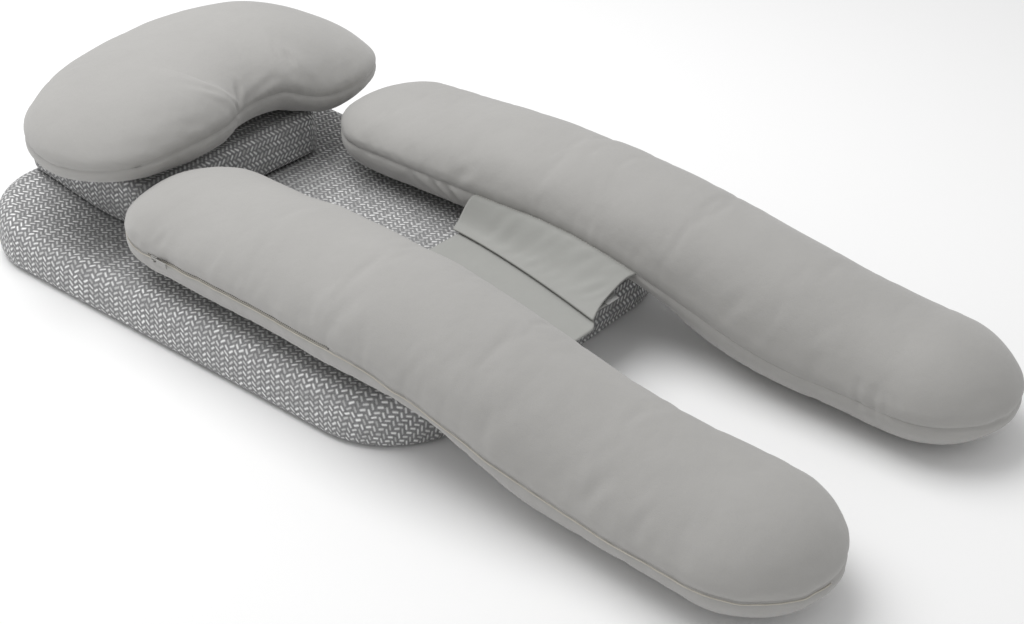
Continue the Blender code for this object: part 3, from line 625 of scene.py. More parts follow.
def block_skin(body, layer, low, high, radii, floor, top, sizes):
    """A foam block or its knit cover: turned-in foot, swelling wall, rounded edge and waved top."""
    corner, edge, foot_edge = radii
    half, outs, middle = block_outline(low, high, corner)
    outline = np.concatenate([half, half[::-1] * (-1, 1)]) + middle
    outward = np.concatenate([outs, outs[::-1] * (-1, 1)])
    ys = outline[:, 1]
    rings, lies = [], []
    wall_steps, edge_steps = 14, 8

    def ring(inward, heights, gone):
        spots = outline - outward * inward[:, None]
        rings.append(np.column_stack([spots, heights]))
        rim = outline - outward * edge
        rows = np.column_stack([rim[:, 0], knit_rows(rim[:, 1])])
        lies.append(rows + outward * gone[:, None])

    rim_gone = edge * np.pi / 2
    foot, crown = floor(ys), top(ys)
    wall = crown - edge - foot
    ring(np.full_like(ys, foot_edge + sizes.turn_in), foot, rim_gone + wall + sizes.turn_in)
    for k in range(wall_steps + 1):
        up = (k / wall_steps) ** 1.4
        swell = sizes.wall_bulge * math.sin(math.pi * min(up * 1.15, 1.0))
        below = np.clip(1 - wall * up / foot_edge, 0, 1)
        tuck = foot_edge * (1 - np.sqrt(1 - below**2))
        ring(tuck - swell, foot + wall * up, rim_gone + wall * (1 - up))
    for k in range(1, edge_steps + 1):
        turn = np.pi / 2 * k / edge_steps
        inward = edge * (1 - math.cos(turn))
        heights = crown - edge * (1 - math.sin(turn))
        ring(np.full_like(ys, inward), heights, np.full_like(ys, rim_gone - edge * turn))
    count = len(outline)
    points = np.concatenate(rings)
    lie = np.concatenate(lies)
    faces = grid_faces(len(rings), count, closed=True)
    # The top: rungs from the right rim to the left one
    rows, across = len(half), 44
    right, left = rings[-1][:rows], rings[-1][rows:][::-1]
    share = np.linspace(0, 1, across + 1)[1:-1]
    inner = right[:, None] * (1 - share)[:, None] + left[:, None] * share[:, None]
    inner[..., 2] = top(inner[..., 1]) + TOP_DENTS * soft_noise(inner, 0.07, 3) * np.sin(np.pi * share)
    inner_lie = np.stack([inner[..., 0], knit_rows(inner[..., 1])], -1)
    start, last = len(points), (len(rings) - 1) * count
    index = np.empty((rows, across + 1), int)
    index[:, 0] = last + np.arange(rows)
    index[:, -1] = last + count - 1 - np.arange(rows)
    index[:, 1:-1] = start + np.arange(rows * (across - 1)).reshape(rows, -1)
    quads = np.stack([index[:-1, :-1], index[:-1, 1:], index[1:, 1:], index[1:, :-1]], -1).reshape(-1, 4)
    faces += [quad[::-1] for quad in quads.tolist()]
    points = np.concatenate([points, inner.reshape(-1, 3)])
    lie = np.concatenate([lie, inner_lie.reshape(-1, 2)])
    if layer == "foam":
        faces.append(list(range(count)))
    look, node, slot = BLOCK_LAYERS[layer]
    cover = piece(f"{body}_{layer}", points, faces, finish(look), uv=lie, body=body)
    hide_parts(f"{body}_{node}")


# By layer of a block: its finish, the end of its node's name and its slot
BLOCK_LAYERS = {
    "cover": ("herringbone_knit", "knit_cover", "herringbone_knit"),
    "foam": ("pore_foam", "foam_core", "foam"),
}


def knit_block(body, under_node, low, high, radii, floor, top, sizes):
    """A block's knit cover, the foam inside it, a little smaller all round, and the cloth under it."""
    corner, edge, foot_edge = radii
    inset = sizes.knit_gap
    inside = Vector((inset, inset, 0))
    block_skin(body, "cover", low, high, radii, floor, top, sizes)
    block_skin(body, "foam", low + inside, high - inside, (corner - inset, edge - inset, foot_edge),
               lambda y: floor(y) + CLEAR, lambda y: top(y) - inset, sizes)
    underside(body, under_node, low, high, corner, foot_edge, lambda y: floor(y) - CLEAR)


# ------------------------------------------------------------------ stuffed cushions
class CushionForm:
    """An oval section swept along a line, which narrows to both ends.  Its cover is two panels."""

    ABOVE = 0.90  # how square the section is above the seam: 1 is an ellipse
    CLUSTER = 0.72  # how much closer the points stand beside a seam

    def __init__(self, length, cap, plus, minus, below, seam, lower, upper, spot):
        self.length, self.cap, self.plus, self.minus, self.below = length, cap, plus, minus, below
        self.seam, self.lower, self.upper, self.spot = seam, lower, upper, spot

    def stations(self, caps, straight):
        """(distance from one end, fullness) of each section, without the two tips."""
        turn = (np.arange(1, caps + 1) / caps) ** 1.15 * np.pi / 2
        near, full = self.cap * (1 - np.cos(turn)), np.sin(turn)
        middle = np.linspace(self.cap, self.length - self.cap, straight + 1)[1:-1]
        t = np.concatenate([near, middle, self.length - near[::-1]])
        return t, np.concatenate([full, np.ones_like(middle), full[::-1]])

    def angles(self, half):
        """Places round the section: 0 is the seam at +across, pi the other seam, beyond it the underside."""
        u = np.arange(half) / half
        clustered = np.pi * (u - self.CLUSTER * np.sin(2 * np.pi * u) / (2 * np.pi))
        return np.concatenate([clustered, clustered + np.pi])

    def grid(self, t, full, angle, inset=0.0):
        """Points of the sections, row by row."""
        t, full, angle = t[:, None], full[:, None], angle[None]
        rise = np.sin(angle)
        power = np.where(rise < 0, self.below(t), self.ABOVE)
        wide = np.sqrt(np.maximum(1 - np.abs(rise) ** (2 / power), 0)) * np.sign(np.cos(angle))
        tall = np.where(rise < 0, self.lower(t), self.upper(t)) - inset
        half = np.where(np.cos(angle) > 0, self.plus(t), self.minus(t))
        across = (half - inset) * full * wide
        return self.spot(t + 0 * across, across, self.seam(t) + rise * tall * full)

    def closed(self, rows, columns):
        """Faces of the whole skin with its two tips, which are the last two points."""
        faces = grid_faces(rows, columns, closed=True)
        tips = rows * columns
        for start, tip in ((0, tips), ((rows - 1) * columns, tips + 1)):
            faces += [[start + j, start + (j + 1) % columns, tip] for j in range(columns)]
        return faces

    def skin(self, caps, straight, half, inset=0.0):
        """(grid of points, all points with the tips, faces, stations) of the skin."""
        t, full = self.stations(caps, straight)
        t = inset + t * (1 - 2 * inset / self.length)
        grid = self.grid(t, full, self.angles(half), inset)
        ends = np.array([inset, self.length - inset])
        flat = np.zeros(2)
        tips = self.grid(ends, flat, np.zeros(1))[:, 0]
        points = np.concatenate([grid.reshape(-1, 3), tips])
        return grid, points, self.closed(len(t), 2 * half), t


def furrow(points, start, end, width, depth, ridge=0.5):
    """A drawn-in line of cloth from start to end, with a low ridge along both its sides."""
    start, end = np.array(start), np.array(end)
    line = end - start
    share = np.clip(((points - start) @ line) / (line @ line), 0, 1)
    off = np.linalg.norm(points - start - share[..., None] * line, axis=-1)
    fade = np.sin(np.pi * (0.12 + 0.76 * share))
    valley = -bell(off, width) + ridge * bell(off - 1.9 * width, 0.9 * width)
    return depth * fade * valley


# Folds of the cloth as (start, end, width, depth), on the cushion's surface
FOLDS = {
    "head_pillow": (
        ((0.116, 0.172, 0.262), (0.101, 0.134, 0.193), 0.0042, 0.0042),
        ((0.132, 0.150, 0.250), (0.124, 0.122, 0.205), 0.0060, 0.0018),
        ((-0.026, 0.140, 0.212), (-0.082, 0.166, 0.264), 0.0060, 0.0030),
        ((-0.024, 0.140, 0.210), (-0.062, 0.152, 0.256), 0.0050, 0.0034),
        ((-0.020, 0.139, 0.208), (0.004, 0.156, 0.240), 0.0055, 0.0028),
        ((-0.030, 0.139, 0.200), (-0.098, 0.130, 0.215), 0.0060, 0.0022),
        ((0.000, 0.144, 0.215), (0.070, 0.150, 0.228), 0.0060, 0.0020),
    ),
    "left_bolster": (
        ((-0.300, 0.030, 0.150), (-0.270, 0.062, 0.150), 0.0050, 0.0022),
        ((-0.302, -0.006, 0.152), (-0.285, -0.016, 0.185), 0.0060, 0.0014),
        ((-0.300, -0.330, 0.150), (-0.262, -0.350, 0.200), 0.0140, 0.0018),
        ((-0.298, -0.560, 0.110), (-0.250, -0.600, 0.150), 0.0160, 0.0020),
        ((-0.302, -0.720, 0.095), (-0.280, -0.735, 0.125), 0.0080, 0.0018),
        ((-0.304, -0.790, 0.085), (-0.285, -0.800, 0.115), 0.0070, 0.0016),
    ),
    "right_bolster": (
        ((0.104, -0.132, 0.134), (0.103, -0.168, 0.106), 0.0050, 0.0038),
        ((0.104, -0.160, 0.134), (0.103, -0.196, 0.104), 0.0048, 0.0044),
        ((0.104, -0.090, 0.132), (0.104, -0.128, 0.106), 0.0060, 0.0022),
        ((0.104, -0.180, 0.150), (0.118, -0.205, 0.172), 0.0080, 0.0020),
        ((0.096, -0.838, 0.092), (0.094, -0.846, 0.052), 0.0046, 0.0026),
        ((0.096, -0.862, 0.090), (0.094, -0.868, 0.050), 0.0050, 0.0030),
        ((0.096, -0.892, 0.088), (0.094, -0.900, 0.050), 0.0046, 0.0024),
        ((0.097, -0.640, 0.112), (0.112, -0.660, 0.138), 0.0090, 0.0016),
    ),
}


def folds_of(name, points):
    """How far the named cushion's cloth moves in and out at its own folds."""
    return sum(furrow(points, *fold) for fold in FOLDS[name])


# How much too large the trial's cloth is, how hard it is filled, and for how many frames
SLACK, PRESSURE, FRAMES = 0.05, 3.0, 16
DEEPEST_CREASE = 0.006


def simulated_creases(points, faces, rows, columns, seams):
    """How far cloth moves out or in when slack cloth is sewn at its seams and then filled."""
    mesh = bpy.data.meshes.new("cloth_trial")
    mesh.from_pydata(points.tolist(), [], faces)
    trial = bpy.data.objects.new("cloth_trial", mesh)
    bpy.context.scene.collection.objects.link(trial)
    held = trial.vertex_groups.new(name="seams")
    held.add(seams, 1.0, "REPLACE")
    cloth = trial.modifiers.new("cloth", "CLOTH")
    settings = cloth.settings
    settings.quality = 4
    settings.mass = 0.15
    settings.tension_stiffness = 12
    settings.compression_stiffness = 12
    settings.shear_stiffness = 4
    settings.bending_stiffness = 0.15
    settings.vertex_group_mass = "seams"
    settings.use_pressure = True
    settings.uniform_pressure_force = PRESSURE
    settings.shrink_min = -SLACK
    settings.effector_weights.gravity = 0
    cloth.collision_settings.use_collision = False
    cloth.point_cache.frame_end = FRAMES
    for number in range(1, FRAMES + 1):
        bpy.context.scene.frame_set(number)
    moved = np.zeros(len(points) * 3, np.float32)
    shown = trial.evaluated_get(bpy.context.evaluated_depsgraph_get())
    shown.data.vertices.foreach_get("co", moved)
    bpy.data.objects.remove(trial)
    bpy.data.meshes.remove(mesh)
    bpy.context.scene.frame_set(1)
    directions = outward_directions(points, faces)
    pushed = ((moved.reshape(-1, 3) - points) * directions).sum(1)
    pushed = pushed[: rows * columns].reshape(rows, columns)
    return pushed - blurred(pushed, 10)


def enlarged(values, rows, columns):
    """A grid of values read at more rows and columns; it closes on itself across."""
    values = np.concatenate([values, values[:, :1]], 1)
    at = np.linspace(0, values.shape[0] - 1, rows)
    low = np.minimum(at.astype(int), values.shape[0] - 2)
    part = (at - low)[:, None]
    values = values[low] * (1 - part) + values[low + 1] * part
    at = np.arange(columns) * (values.shape[1] - 1) / columns
    low = at.astype(int)
    part = at - low
    return values[:, low] * (1 - part) + values[:, low + 1] * part


GROOVE_WIDTH = 0.0042
SEAM_RIDGE, RIDGE_PLACE, RIDGE_WIDTH = 0.0012, 0.014, 0.009  # the low swelling on both sides of a seam
PUCKER_REACH = 0.020
SMALL_DENTS = 0.0012
HEM = 0.004  # how deep a panel's edge is turned in at its seam


def stuffed_cushion(name, form, counts, sizes, seed):
    """A cushion's two cover panels and its inner cushion."""
    caps, straight, half = counts
    grid, points, faces, t = form.skin(caps, straight, half)
    rows, columns = grid.shape[:2]
    outs = outward_directions(points, faces)
    out = outs[: rows * columns].reshape(rows, columns, 3)
    from_seam = grid[..., 2] - form.seam(t)[:, None]
    near = np.abs(from_seam)
    moved = -sizes.groove * bell(near, GROOVE_WIDTH) + SEAM_RIDGE * bell(near - RIDGE_PLACE, RIDGE_WIDTH)
    gather = soft_noise(grid * (1, 1, 0.15), 0.016, seed)
    gather = gather + 0.6 * soft_noise(grid * (1, 1, 0.1), 0.034, seed + 1)
    bunch = 0.35 + 0.65 * smooth_step(soft_noise(grid * (1, 1, 0), 0.15, seed + 2) + 0.4)
    moved += sizes.pucker * gather * bunch * np.exp(-near / PUCKER_REACH)
    moved += sizes.dents * soft_noise(grid, 0.130, seed + 3) + SMALL_DENTS * soft_noise(grid, 0.055, seed + 4)
    moved += folds_of(name, grid)
    coarse = (caps // 2, straight // 2, half // 2)
    small, small_points, small_faces, _ = form.skin(*coarse)
    small_rows, small_columns = small.shape[:2]
    held = [row * small_columns + side for row in range(small_rows) for side in (0, small_columns // 2)]
    detail = simulated_creases(small_points, small_faces, small_rows, small_columns, held)
    moved += sizes.creases * np.clip(enlarged(detail, rows, columns), -DEEPEST_CREASE, DEEPEST_CREASE)
    grid = grid + out * moved[..., None]
    grid[..., 2] = np.maximum(grid[..., 2], CLEAR)
    tips = points[-2:]
    seam_lines[name, "plus"] = grid[:, 0], out[:, 0]
    seam_lines[name, "minus"] = grid[:, half], out[:, half]
    for side, panel in (("upper", slice(0, half + 1)), ("lower", slice(half, 2 * half + 1))):
        closed = np.concatenate([grid, grid[:, :1]], 1)[:, panel]
        closed_out = np.concatenate([out, out[:, :1]], 1)[:, panel]
        hems = closed - closed_out * HEM
        sheet = np.concatenate([hems[:, :1], closed, hems[:, -1:]], 1)
        width = sheet.shape[1]
        panel_faces = grid_faces(rows, width)
        for start, tip in ((0, rows * width), ((rows - 1) * width, rows * width + 1)):
            panel_faces += [[start + j, start + j + 1, tip] for j in range(width - 1)]
        made = piece(f"{name}_{side}_cover", np.concatenate([sheet.reshape(-1, 3), tips]), panel_faces,
                     finish("brushed_cloth"), body=name)
        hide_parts(f"{name}_{side}_panel")
    _, filling_points, filling_faces, _ = form.skin(8, 28, 14, sizes.filling_gap)
    filling = piece(f"{name}_filling", filling_points, filling_faces, finish("woven_liner"), body=name)
    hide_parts(f"{name}_inner_cushion")


def turned(points, x, turn):
    """Points of a bolster's own frame in the whole set's frame."""
    px, py, pz = points
    cos, sin = math.cos(turn), math.sin(turn)
    return np.stack([x + px * cos - py * sin, px * sin + py * cos, pz], -1)


def bolster_seam(y):
    """Height of a bolster's seam: level on the base, and lower towards the foot."""
    return SEAM_LOW + (SEAM_HIGH - SEAM_LOW) * smooth_step((y - SEAM_END) / (SEAM_START - SEAM_END))


# A bolster's seam leaves its level on the base at SEAM_START, and is at its lowest from SEAM_END on
SEAM_HIGH, SEAM_LOW = 0.1385, 0.066
SEAM_START, SEAM_END = -0.330, -0.770
# By distance from a bolster's head end: the height of its crown over its seam, and half of its width
CROWNS = {
    "left": (
        (0.0, 0.058), (0.13, 0.060), (0.30, 0.0745), (0.52, 0.0755),
        (0.66, 0.0820), (0.83, 0.0830), (1.0, 0.0710), (1.12, 0.066),
    ),
    "right": (
        (0.0, 0.052), (0.13, 0.055), (0.30, 0.0735), (0.52, 0.0775),
        (0.66, 0.0925), (0.83, 0.0985), (1.0, 0.0750), (1.12, 0.064),
    ),
}
HALF_WIDTHS = {
    "left": (
        (0.0, 0.117), (0.12, 0.117), (0.31, 0.107), (0.52, 0.0990),
        (0.66, 0.0985), (0.83, 0.1020), (1.0, 0.109), (1.12, 0.109),
    ),
    "left_outer": (
        (0.0, 0.1135), (0.12, 0.1135), (0.20, 0.1137), (0.31, 0.1148), (0.45, 0.1158),
        (0.60, 0.1140), (0.72, 0.1070), (0.83, 0.1030), (1.0, 0.109), (1.12, 0.109),
    ),
    "right": (
        (0.0, 0.113), (0.12, 0.113), (0.31, 0.1105), (0.52, 0.1055),
        (0.66, 0.1040), (0.83, 0.1065), (1.0, 0.110), (1.12, 0.110),
    ),
}


def curve(table, t):
    """A smooth curve through (place, value) pairs."""
    places, values = np.array(table).T
    slopes = np.gradient(values, places)
    i = np.clip(np.searchsorted(places, t, side="right") - 1, 0, len(places) - 2)
    span = places[i + 1] - places[i]
    u = np.clip((t - places[i]) / span, 0, 1)
    start = (2 * u**3 - 3 * u**2 + 1) * values[i] + (u**3 - 2 * u**2 + u) * span * slopes[i]
    return start + (3 * u**2 - 2 * u**3) * values[i + 1] + (u**3 - u**2) * span * slopes[i + 1]


# How square the undersides are, where 1 is an ellipse
BOLSTER_SQUARE, PILLOW_SQUARE = 0.68, 0.78


def bolster_form(side, sizes):
    left = side == "left"
    x, turn = (sizes.left_x, sizes.left_turn) if left else (sizes.right_x, sizes.right_turn)
    head = sizes.left_head if left else sizes.right_head
    front = BASE_LOW.y

    def rest(t):
        past = (front - (head - t)) / sizes.bolster_drop
        return 2 * CLEAR + bpy.context.scene.pillow_blocks.base_height * smooth_step(1 - past)

    def seam(t):
        return bolster_seam(head - t)

    def below(t):
        """Squarer where it lies on the base, round past it."""
        off_base = smooth_step((t - head + front) / sizes.bolster_drop + 0.5)
        return BOLSTER_SQUARE + (1 - BOLSTER_SQUARE) * off_base

    def inner(t):
        return curve(HALF_WIDTHS[side], t)

    def zipped(t):
        return curve(HALF_WIDTHS["left_outer"], t) if left else np.minimum(inner(t), sizes.zip_side)

    return CushionForm(
        sizes.left_length if left else sizes.right_length, sizes.bolster_width / 2,
        inner if left else zipped, zipped if left else inner, below, seam,
        lambda t: seam(t) - rest(t), lambda t: curve(CROWNS[side], t),
        lambda t, across, z: turned((across, head - t, z), x, turn),
    )


# Where the head pillow begins to hang down, and over what length, as shares of its own length
SAG_FROM, SAG_OVER = 0.65625, 0.3125
PILLOW_CAP = 0.62  # length of its rounded ends, as a share of its width
LEFT_END_LIFT = 0.006


def pillow_form(sizes):
    sweep = sizes.pillow_radius * sizes.pillow_half_angle
    seam_height = HEADREST_HIGH.z + sizes.pillow_lower

    def spot(t, across, z):
        angle = (t - sweep) / sizes.pillow_radius - sizes.pillow_turn
        radius = sizes.pillow_radius + across
        x, y = sizes.pillow_x + radius * np.sin(angle), sizes.pillow_y + radius * np.cos(angle)
        return np.stack([x, y, z], -1)

    def level(height):
        return lambda t: np.full_like(t, height, dtype=float)

    def seam(t):
        """It hangs down a little where the right end stands past the headrest."""
        return seam_height - sizes.pillow_sag * smooth_step((t / sweep / 2 - SAG_FROM) / SAG_OVER)

    def lower(t):
        return sizes.pillow_lower - 2 * CLEAR - LEFT_END_LIFT * smooth_step(1 - t / sweep / 2 * 4)

    half = level(sizes.pillow_width / 2)
    return CushionForm(2 * sweep, sizes.pillow_width * PILLOW_CAP, half, half, level(PILLOW_SQUARE), seam,
                       lower, level(sizes.pillow_upper), spot)


# ------------------------------------------------------------------ flaps
def flap_sheet(side, cushions, sizes):
    """A two-layer flap that drops beside its bolster, then lies flat: its points, faces and upper side."""
    left = side == "left"
    inward = 1 if left else -1
    x = cushions.left_x if left else cushions.right_x
    turn = cushions.left_turn if left else cushions.right_turn
    rows, columns = 90, 34
    down = np.linspace(0, 1, rows)[:, None]
    out = np.linspace(0, 1, columns)[None]
    if left:
        reach = sizes.left_reach + 0 * down
    else:
        reach = sizes.right_reach_head + (sizes.right_reach_foot - sizes.right_reach_head) * down**1.4
    head_y = cushions.left_head - sizes.from_head
    y = head_y - sizes.length * down + 0 * out
    # The foot edges are drawn back, and the right flap's head edge bows a little
    if left:
        y = y + 0.024 * down**10 * smooth_step((out - 0.50) / 0.25)
    else:
        y = y + (0.013 * (1 - out) + 0.012 * np.sin(np.pi * out)) * down**12
        y = y + (0.005 * np.sin(np.pi * out) - 0.007 * (1 - out) ** 3) * (1 - down) ** 12
    root = bolster_seam(y) - 0.001
    level = sizes.left_level if left else sizes.right_level
    distance = out * reach
    width = np.minimum(sizes.slope if left else 2 * sizes.slope, reach * 0.85)
    z = level + (root - level) * (1 - smooth_step(distance / width)) ** 1.25
    # Soft dents in the left flap, slanting ripples in the right one
    if left:
        z = z + 0.0006 * soft_noise(np.stack([distance, y, 0 * z], -1), 0.05, 5) * bell(out - 0.4, 0.3)
    else:
        gone = down * sizes.length
        wave = np.sin((gone + 0.9 * distance) / 0.036 * 2 * np.pi) * smooth_step((gone - 0.03) / 0.05)
        slack = soft_noise(np.stack([distance, y, 0 * z], -1), 0.035, 8)
        free = smooth_step((1 - out) * 4) * smooth_step(out * 5)
        z = z + sizes.ripple * (0.55 + 0.45 * wave * slack + 0.4 * slack) * free
    beside = curve(HALF_WIDTHS[side], (cushions.left_head if left else cushions.right_head) - y) - 0.0045
    straight = cushions.bolster_width / 2
    side_x = inward * (beside * (1 - out) + (straight + reach) * out)
    under = turned((side_x, y, z), x, turn)
    over = under + UP * sizes.thickness
    return *two_layers(under, over), over


# ------------------------------------------------------------------ operators
LAMP_PLACE, LAMP_AIM = Vector((-0.12, 0.72, 2.50)), Vector((0.0, -0.3, 0.1))
LOOK_AT = Vector((0.0070, -0.3646, 0.0475))
FLOOR_GAP = 0.0004  # from the set down to the floor


class PILLOW_OT_stage(bpy.types.Operator):
    """Lay the floor, hang the light and place the camera"""

    bl_idname = "nursing_pillow.stage"
    bl_label = "Stage"

    def execute(self, context):
        stage = context.scene.pillow_stage
        reach = 14.0
        corners = [(-reach, -reach, 0), (reach, -reach, 0), (reach, reach, 0), (-reach, reach, 0)]
        floor = piece("floor", np.array(corners) - UP * FLOOR_GAP, [[0, 1, 2, 3]], finish("floor_paint"))
        world = bpy.data.worlds.new("studio")
        world.use_nodes = True
        world.node_tree.nodes["Background"].inputs["Color"].default_value = (1, 1, 1, 1)
        world.node_tree.nodes["Background"].inputs["Strength"].default_value = stage.sky
        context.scene.world = world
        lamp = bpy.data.lights.new("overhead_panel", "AREA")
        lamp.energy = stage.lamp
        lamp.size = stage.lamp_size
        hung = bpy.data.objects.new("overhead_panel", lamp)
        hung.location = LAMP_PLACE
        aim = LAMP_AIM - hung.location
        hung.rotation_euler = aim.to_track_quat("-Z", "Y").to_euler()
        context.scene.collection.objects.link(hung)
        camera = bpy.data.cameras.new("camera")
        camera.lens = stage.lens
        camera.sensor_width = 36
        view = bpy.data.objects.new("camera", camera)
        a, e = stage.azimuth, stage.elevation
        back = Vector((math.sin(a) * math.cos(e), -math.cos(a) * math.cos(e), math.sin(e)))
        view.location = LOOK_AT + back * stage.distance
        view.rotation_mode = "QUATERNION"
        view.rotation_quaternion = (-back).to_track_quat("-Z", "Y")
        context.scene.collection.objects.link(view)
        context.scene.camera = view
        context.scene.view_settings.view_transform = "Standard"
        return {"FINISHED"}


class PILLOW_OT_base(bpy.types.Operator):
    """Cover the base with knit"""

    bl_idname = "nursing_pillow.base"
    bl_label = "Base"

    def execute(self, context):
        sizes = context.scene.pillow_blocks
        radii = sizes.base_corner, sizes.base_edge, sizes.base_foot
        knit_block("base", "base_grip_panel", BASE_LOW, BASE_HIGH, radii,
                   lambda y: np.full_like(y, BASE_LOW.z), lambda y: base_top(y, sizes), sizes)
        return {"FINISHED"}


class PILLOW_OT_headrest(bpy.types.Operator):
    """Cover the headrest block with knit"""

    bl_idname = "nursing_pillow.headrest"
    bl_label = "Headrest"

    def execute(self, context):
        sizes = context.scene.pillow_blocks
        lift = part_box("headrest_bottom_panel")[1].z - base_top(HEADREST_HIGH.y, sizes)
        radii = sizes.headrest_corner, sizes.headrest_edge, sizes.headrest_foot
        knit_block("headrest", "headrest_bottom_panel", HEADREST_LOW, HEADREST_HIGH, radii,
                   lambda y: base_top(y, sizes) + lift + CLEAR,
                   lambda y: np.full_like(y, HEADREST_HIGH.z), sizes)
        return {"FINISHED"}


class PILLOW_OT_head_pillow(bpy.types.Operator):
    """Make the kidney head pillow"""

    bl_idname = "nursing_pillow.head_pillow"
    bl_label = "Head pillow"

    def execute(self, context):
        sizes = context.scene.pillow_cushions
        stuffed_cushion("head_pillow", pillow_form(sizes), (36, 130, 52), sizes, 11)
        return {"FINISHED"}


class PILLOW_OT_bolster(bpy.types.Operator):
    """Make one long bolster"""

    bl_idname = "nursing_pillow.bolster"
    bl_label = "Bolster"

    side: EnumProperty(name="Side", description="Which bolster to make",
                       items=[("left", "Left", "The left bolster"), ("right", "Right", "The right bolster")])

    def execute(self, context):
        sizes = context.scene.pillow_cushions
        seed = 31 if self.side == "left" else 53
        stuffed_cushion(f"{self.side}_bolster", bolster_form(self.side, sizes), (36, 210, 46), sizes, seed)
        return {"FINISHED"}


class PILLOW_OT_flaps(bpy.types.Operator):
    """Sew the two flaps to the bolsters"""

    bl_idname = "nursing_pillow.flaps"
    bl_label = "Flaps"

    def execute(self, context):
        cushions, sizes = context.scene.pillow_cushions, context.scene.pillow_flaps
        threads = context.scene.pillow_stitches
        for side in ("left", "right"):
            points, faces, over = flap_sheet(side, cushions, sizes)
            left = side == "left"
            body = "left_bolster" if left else None
            flap = piece(f"{side}_flap_cloth", points, faces, finish("flap_cloth"), body=body)
            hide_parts(f"{side}_flap")
            root = over[:, 2] + UP * 0.0002
            sewn = stitches(root, np.tile(UP, (len(root), 1)), threads, ragged=0.0006)
            line = piece(f"{side}_flap_stitches", *sewn, finish("sewing_thread"), body=body)
            if not left:
                for part in (flap, line):
                    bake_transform(part)
        return {"FINISHED"}


def zip_path(owner):
    """Points of a zip's middle line and its outward directions."""
    low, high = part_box(f"{owner}_zip_chain")
    if owner in ("base", "headrest"):
        x = np.linspace(low.x, high.x, 60)
        level = np.full_like(x, (low.z + high.z) / 2)
        return np.column_stack([x, np.full_like(x, high.y - CLEAR), level]), (0.0, 1.0, 0.0)
    side = "minus" if owner == "left_bolster" else "plus"
    path, outs = seam_lines[owner, side]
    on_chain = (path[:, 0] > low.x - 0.02) & (path[:, 0] < high.x + 0.02)
    on_chain &= (path[:, 1] > low.y - 0.005) & (path[:, 1] < high.y + 0.005)
    if owner == "head_pillow":
        on_chain &= (path[:, 0] > low.x) & (path[:, 0] < high.x)
    return path[on_chain], outs[on_chain]


TOOTH = np.array((0.28, 0.42, 0.40, 0.22))  # a tooth's radius at four places along it, as shares of the pitch
BOLSTER_TAPE = 0.42  # how much of the tape shows beside a bolster's closed zip
TAPE_DEPTH = 0.0009


def zip_teeth(path, outs, sizes):
    """Small teeth that reach across the middle line from one tape and the other in turn."""
    _, total = along(path, [0.0])
    parts = []
    for k in range(int(total / sizes.coil_pitch)):
        at = (k + 0.5) * sizes.coil_pitch + np.array((-0.2, 0.2)) * sizes.coil_pitch
        ends, _ = along(path, at)
        out = unit(along_like(path, outs, at).mean(0))
        middle, line = ends.mean(0), unit(ends[1] - ends[0])
        rise = np.cross(line, out) * (1 if k % 2 else -1)
        reach = np.linspace(-0.15, 0.5, 4)[:, None] * sizes.coil_height
        spots = middle + rise * reach + out * 0.0004
        parts.append(rod(spots, np.tile(out, (4, 1)), sizes.coil_pitch * TOOTH, 6))
    return gathered(parts)


class PILLOW_OT_zips(bpy.types.Operator):
    """Set in the zips and the left bolster's seam cord"""

    bl_idname = "nursing_pillow.zips"
    bl_label = "Zips and seam cord"

    def execute(self, context):
        sizes = context.scene.pillow_stitches
        for owner in ("base", "headrest", "head_pillow", "left_bolster", "right_bolster"):
            path, outs = zip_path(owner)
            outs = outs + np.zeros_like(path)
            wide = sizes.tape_height * (BOLSTER_TAPE if "bolster" in owner else 1.0)
            tape = rod(path, outs, np.full(len(path), TAPE_DEPTH), 10, wide / 2 / TAPE_DEPTH)
            teeth = zip_teeth(path + outs * 0.0004, outs, sizes)
            for name, made, look in (("tapes", tape, "zip_tape"), ("teeth", teeth, "zip_coil")):
                part = piece(f"{owner}_zip_{name}", *made, finish(look), body=owner)
                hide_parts(f"{owner}_zip_chain")
        path, outs = seam_lines["left_bolster", "minus"]
        line = path - UP * sizes.cord_drop + outs * 0.0011
        cord = piece("left_bolster_seam_cord", *rod(line, outs, np.full(len(line), sizes.piping), 8),
                     finish("seam_cord"), body="left_bolster")
        return {"FINISHED"}


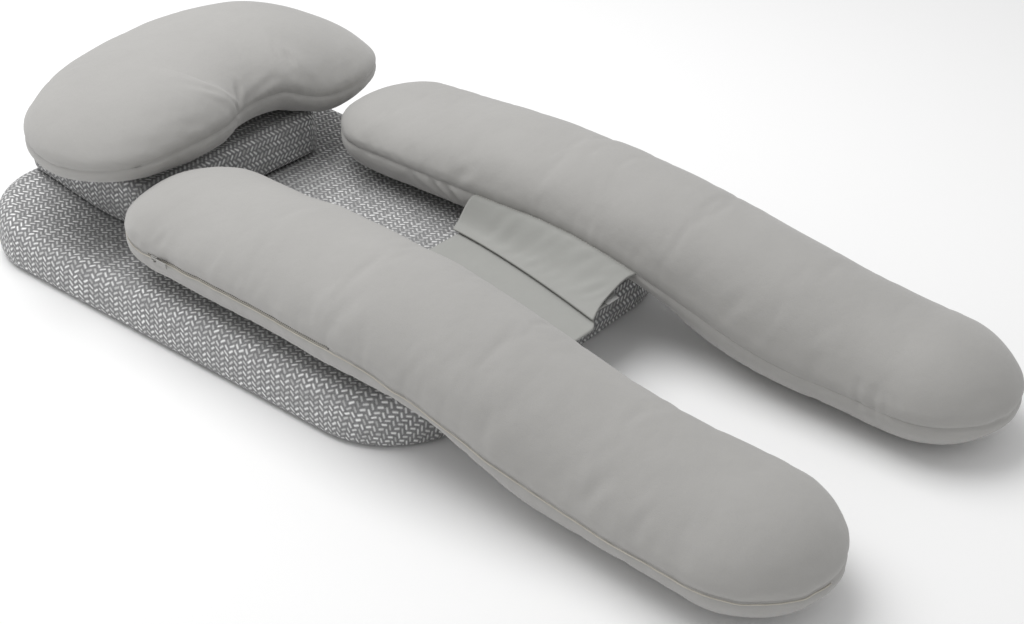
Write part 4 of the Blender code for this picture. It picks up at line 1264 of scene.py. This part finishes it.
class PILLOW_OT_hardware(bpy.types.Operator):
    """Finish the hook-and-loop tapes and the zip metal"""

    bl_idname = "nursing_pillow.hardware"
    bl_label = "Tapes and zip metal"

    def execute(self, context):
        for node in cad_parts:
            if "tape" in node:
                paint_node(node, "touch_tape")
            elif node.endswith(("_zip_slider", "_zip_puller")):
                paint_node(node, "zip_metal")
        return {"FINISHED"}


class PILLOW_PT_panel(bpy.types.Panel):
    """Lists the steps that build the set"""

    bl_idname = "PILLOW_PT_panel"
    bl_label = "Nursing Pillow"
    bl_space_type = "VIEW_3D"
    bl_region_type = "UI"
    bl_category = "Nursing Pillow"

    def draw(self, context):
        for operator in OPERATORS:
            self.layout.operator(operator.bl_idname)
        for name in GROUPS:
            box = self.layout.box()
            group = getattr(context.scene, name)
            for key in group.__annotations__:
                box.prop(group, key)


OPERATORS = (
    PILLOW_OT_stage,
    PILLOW_OT_base,
    PILLOW_OT_headrest,
    PILLOW_OT_head_pillow,
    PILLOW_OT_bolster,
    PILLOW_OT_flaps,
    PILLOW_OT_zips,
    PILLOW_OT_hardware,
)
GROUPS = {
    "pillow_blocks": BlockSizes,
    "pillow_cushions": CushionSizes,
    "pillow_flaps": FlapSizes,
    "pillow_stitches": StitchSizes,
    "pillow_finishes": Finishes,
    "pillow_stage": StageSettings,
}


def register():
    for made in (*GROUPS.values(), *OPERATORS, PILLOW_PT_panel):
        bpy.utils.register_class(made)
    for name, group in GROUPS.items():
        setattr(bpy.types.Scene, name, PointerProperty(type=group))


def unregister():
    for name in GROUPS:
        delattr(bpy.types.Scene, name)
    for made in (PILLOW_PT_panel, *reversed(OPERATORS), *reversed(GROUPS.values())):
        bpy.utils.unregister_class(made)


def main():
    register()
    bpy.ops.nursing_pillow.stage()
    bpy.ops.nursing_pillow.base()
    bpy.ops.nursing_pillow.headrest()
    bpy.ops.nursing_pillow.head_pillow()
    for side in ("left", "right"):
        bpy.ops.nursing_pillow.bolster(side=side)
    bpy.ops.nursing_pillow.flaps()
    bpy.ops.nursing_pillow.zips()
    bpy.ops.nursing_pillow.hardware()


if __name__ == "__main__":
    main()
